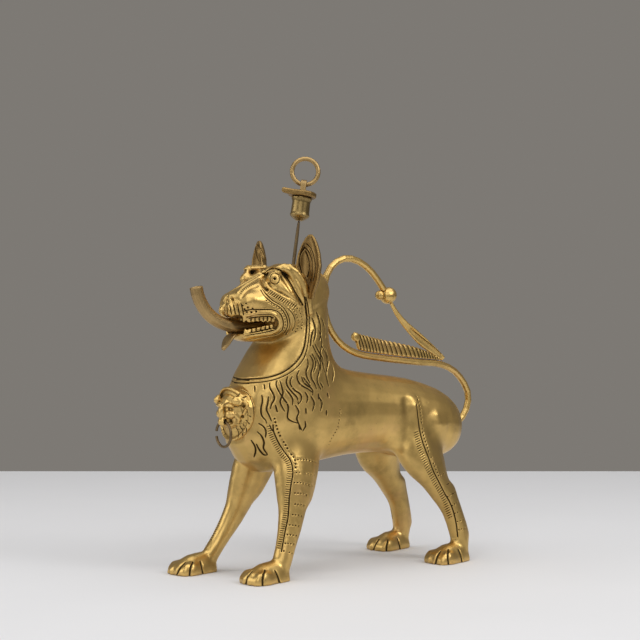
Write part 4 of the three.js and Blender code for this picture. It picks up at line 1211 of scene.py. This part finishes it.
earLines = {
    "left_ear": [[(304.5, 247.2), (308.3, 251.8), (311.8, 261), (312.2, 270.9), (309.9, 280.9)],
                 [(306.8, 244), (311.4, 249.6), (314.5, 260), (314.9, 270.9), (312.9, 281)],
                 [(304.5, 248), (301, 254), (299.4, 261.7), (301, 269.4), (303.6, 277)],
                 [(305.6, 251), (308.6, 260), (309, 269), (307.4, 277)]],
    "right_ear": [[(257.5, 245), (261.6, 250), (265, 257), (267.6, 263)], [(255.6, 247), (256.6, 255),
                                                                           (259, 262)]],
}
earCuts = {
    "left_ear": {"hollow": [(305.6, 248), (306.6, 258), (306.8, 268), (307, 279)], "radius": 4.2,
                 "rise": -1.1,
                 "width": 0.42, "depth": 0.36},
    "right_ear": {"hollow": [(258.4, 246.5), (261.4, 253), (264.6, 260)], "radius": 2.6, "rise": -0.6,
                  "width": 0.3, "depth": 0.22},
}


def carveEar(mesh, node):
    ear = earCuts[node]
    pressLine(mesh, bvhOf(mesh), ear["hollow"], ear["radius"], ear["rise"], tuple(-forward), "single")
    marks = ToolMarks(bvhOf(mesh))
    for line in earLines[node]:
        marks.line(line, ear["width"], ear["depth"], shift="single")
    return marks.spots


blade = {"hollow": [(411, 330.5), (419, 338), (431, 347), (441, 355.4)], "radius": 2.3, "rise": -0.6,
         "vein": [(412, 330), (421, 337), (432, 345.6), (441.6, 354)], "width": 0.3, "depth": 0.24}


# The leaf at the tail's end is hollow towards its tip.
def carveBlade(mesh, node):
    pressLine(mesh, bvhOf(mesh), blade["hollow"], blade["radius"], blade["rise"], tuple(-forward), "single")
    marks = ToolMarks(bvhOf(mesh))
    marks.line(blade["vein"], blade["width"], blade["depth"], taper=True, shift="single")
    return marks.spots


maskForms = [([(229.9, 421.2), (230.1, 421.4)], 2.4, -2.2), ([(228.3, 408.2), (228.5, 408.4)], 1.3, -0.9),
             ([(231.6, 406), (233, 407.4)], 1.2, 0.5), ([(243.4, 406), (243.6, 406.2)], 1.2, -1.2),
             ([(240, 404), (242.6, 401.4), (246.4, 403.4), (247.4, 407.6), (245.4, 411), (243.6, 414)], 1.0,
              0.8),
             ([(242.4, 416.6), (242.5, 417)], 1.1, -1.0), ([(235.4, 415), (238.6, 419), (238, 424.4)], 1.5,
                                                           0.6),
             ([(233.7, 401.2), (234.6, 402)], 2.2, 0.6), ([(222, 409), (222.4, 411.4)], 1.5, 0.5)]
maskLines = [[(241.3, 389.5), (248, 393.5), (252.5, 403), (254.2, 415.2), (252.4, 427.5), (248, 436.5),
              (241, 439.6)],
             [(236, 427.6), (238.4, 432.4), (238, 437)], [(240, 426.4), (242.6, 431), (242.6, 436)],
             [(243.6, 424.6), (246.4, 429), (246.2, 433)], [(246, 420.4), (249.4, 424)],
             [(247.6, 415), (251, 417)],
             [(236.6, 396.6), (240, 393.6)], [(243, 397.6), (246.6, 396.4)]]
maskDots = [[(236, 424), (246, 423)], [(237, 429.6), (246, 427.6)], [(238.6, 434), (244.6, 432.6)]]
maskTools = {"lines": {"width": 0.4, "depth": 0.36}, "dots": {"gap": 1.9, "width": 0.34, "depth": 0.3}}


def carveMask(mesh, node):
    for line, radius, height in maskForms:
        pressLine(mesh, bvhOf(mesh), line, radius, height)
    marks = ToolMarks(bvhOf(mesh))
    for line in maskLines:
        marks.line(line, **maskTools["lines"])
    for row in maskDots:
        marks.dots(row, **maskTools["dots"])
    return marks.spots


castings = [
    {"node": "spout_tube", "voxel": 0.3, "rounds": 40, "finish": "dullBrass"},
    {"node": "tongue", "name": "tongueLeaf", "smooth": 3, "fatten": 0.5, "finish": "dullBrass"},
    {"node": "left_ear", "voxel": 0.45, "rounds": 14, "finish": "earBrass", "carve": carveEar},
    {"node": "right_ear", "voxel": 0.45, "rounds": 14, "finish": "earBrass", "carve": carveEar},
    {"node": "tail_handle", "voxel": 0.3, "rounds": 40, "finish": "castBrass"},
    {"node": "tail_knop", "voxel": 0.25, "rounds": 8, "finish": "castBrass", "ball": (4.5, (0, 3.1, 0.5))},
    {"node": "tail_blade", "voxel": 0.25, "rounds": 24, "finish": "castBrass", "carve": carveBlade},
    {"node": "tail_plume", "voxel": 0.26, "rounds": 3, "finish": "castBrass", "flatten": 30},
    {"node": "chest_mask", "voxel": 0.34, "rounds": 8, "finish": "castBrass", "carve": carveMask,
     "paintedshade": 3 * mm},
    {"node": "chest_ring", "voxel": 0.2, "rounds": 30, "finish": "darkBrass", "body": "hanging_ring"},
    {"node": "stopper_plug", "voxel": 0.25, "rounds": 40, "finish": "rubbedBrass", "body": "stopper"},
    {"node": "stopper_flange", "voxel": 0.22, "rounds": 30, "finish": "earBrass", "body": "stopper"},
    {"node": "stopper_eye", "voxel": 0.18, "rounds": 20, "finish": "dullBrass", "body": "stopper"},
    {"node": "stopper_rod", "smooth": 2, "fatten": 0.03, "finish": "darkBrass", "body": "stopper"},
    {"node": "stopper_ring", "voxel": 0.22, "rounds": 40, "finish": "dullBrass", "body": "finger_ring"},
]


# Rounds the solid off between its own lines, then gives back what the rounding took.
def roundedCopy(node, levels, fatten):
    bm = mergedCopy([node])
    bmesh.ops.join_triangles(bm, faces=bm.faces, cmp_seam=False, cmp_sharp=False, cmp_uvs=False,
                             cmp_vcols=False,
                             cmp_materials=False, angle_face_threshold=math.radians(50),
                             angle_shape_threshold=math.radians(60))
    piece = meshPiece("rounding", bm)
    modifier = piece.modifiers.new("rounding", "SUBSURF")
    modifier.levels = modifier.render_levels = levels
    mesh = applied(piece)
    writePoints(mesh, readPoints(mesh) + readNormals(mesh) * fatten * mm)
    return mesh


# Deep valleys of the ribs stay dark when the ribs themselves are worn down.
def keepGrooves(mesh):
    values = np.empty(len(mesh.vertices), dtype=np.float32)
    mesh.attributes["cavity"].data.foreach_get("value", values)
    writeValues(mesh, "groove", fade(values, 0.35, 0.95))


coarser = 1
roundedRounds = 10
fineCut = {"reach": 0.5 * mm, "edgeLength": 0.2 * mm, "passes": 1}


# Voxels and rounds of smoothing, or a rounded copy of the solid; then what is carved, worn down and shaded.
def makeCasting(casting):
    if "voxel" in casting:
        bm = mergedCopy([casting["node"]])
        if "ball" in casting:
            low, high = boxOf(casting["node"])
            centre = Matrix.Translation((low + high) / 2 + np.array(casting["ball"][1]) * mm)
            bmesh.ops.create_icosphere(bm, subdivisions=4, radius=casting["ball"][0] * mm, matrix=centre)
        mesh = voxelSkin(bm, casting["voxel"] * coarser * mm)
        relax(mesh, casting["rounds"])
    else:
        mesh = roundedCopy(casting["node"], casting["smooth"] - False, casting["fatten"])
        relax(mesh, roundedRounds)
    if "carve" in casting:
        spots = casting["carve"](mesh, casting["node"])
        writeCavity(mesh)
        engrave(mesh, spots, **fineCut)
    elif "voxel" in casting:
        writeCavity(mesh, 1.0 if "flatten" in casting else 0.5)
    if "flatten" in casting:
        keepGrooves(mesh)
        relax(mesh, casting["flatten"], push=0.5)
    # Painted shade on the castings that ask for it: corners that see little sky are darkened.
    if "paintedshade" in casting:
        writePaintedShade(mesh, casting["paintedshade"])
    parts = casting["node"].split("_")
    name = casting.get("name") or parts[0] + "".join(part.capitalize() for part in parts[1:])
    return addPiece(name, mesh, casting["finish"], [casting["node"]], casting.get("body", "lamp"))


for casting in castings:
    piece = makeCasting(casting)
    print(piece.name, len(piece.data.polygons))
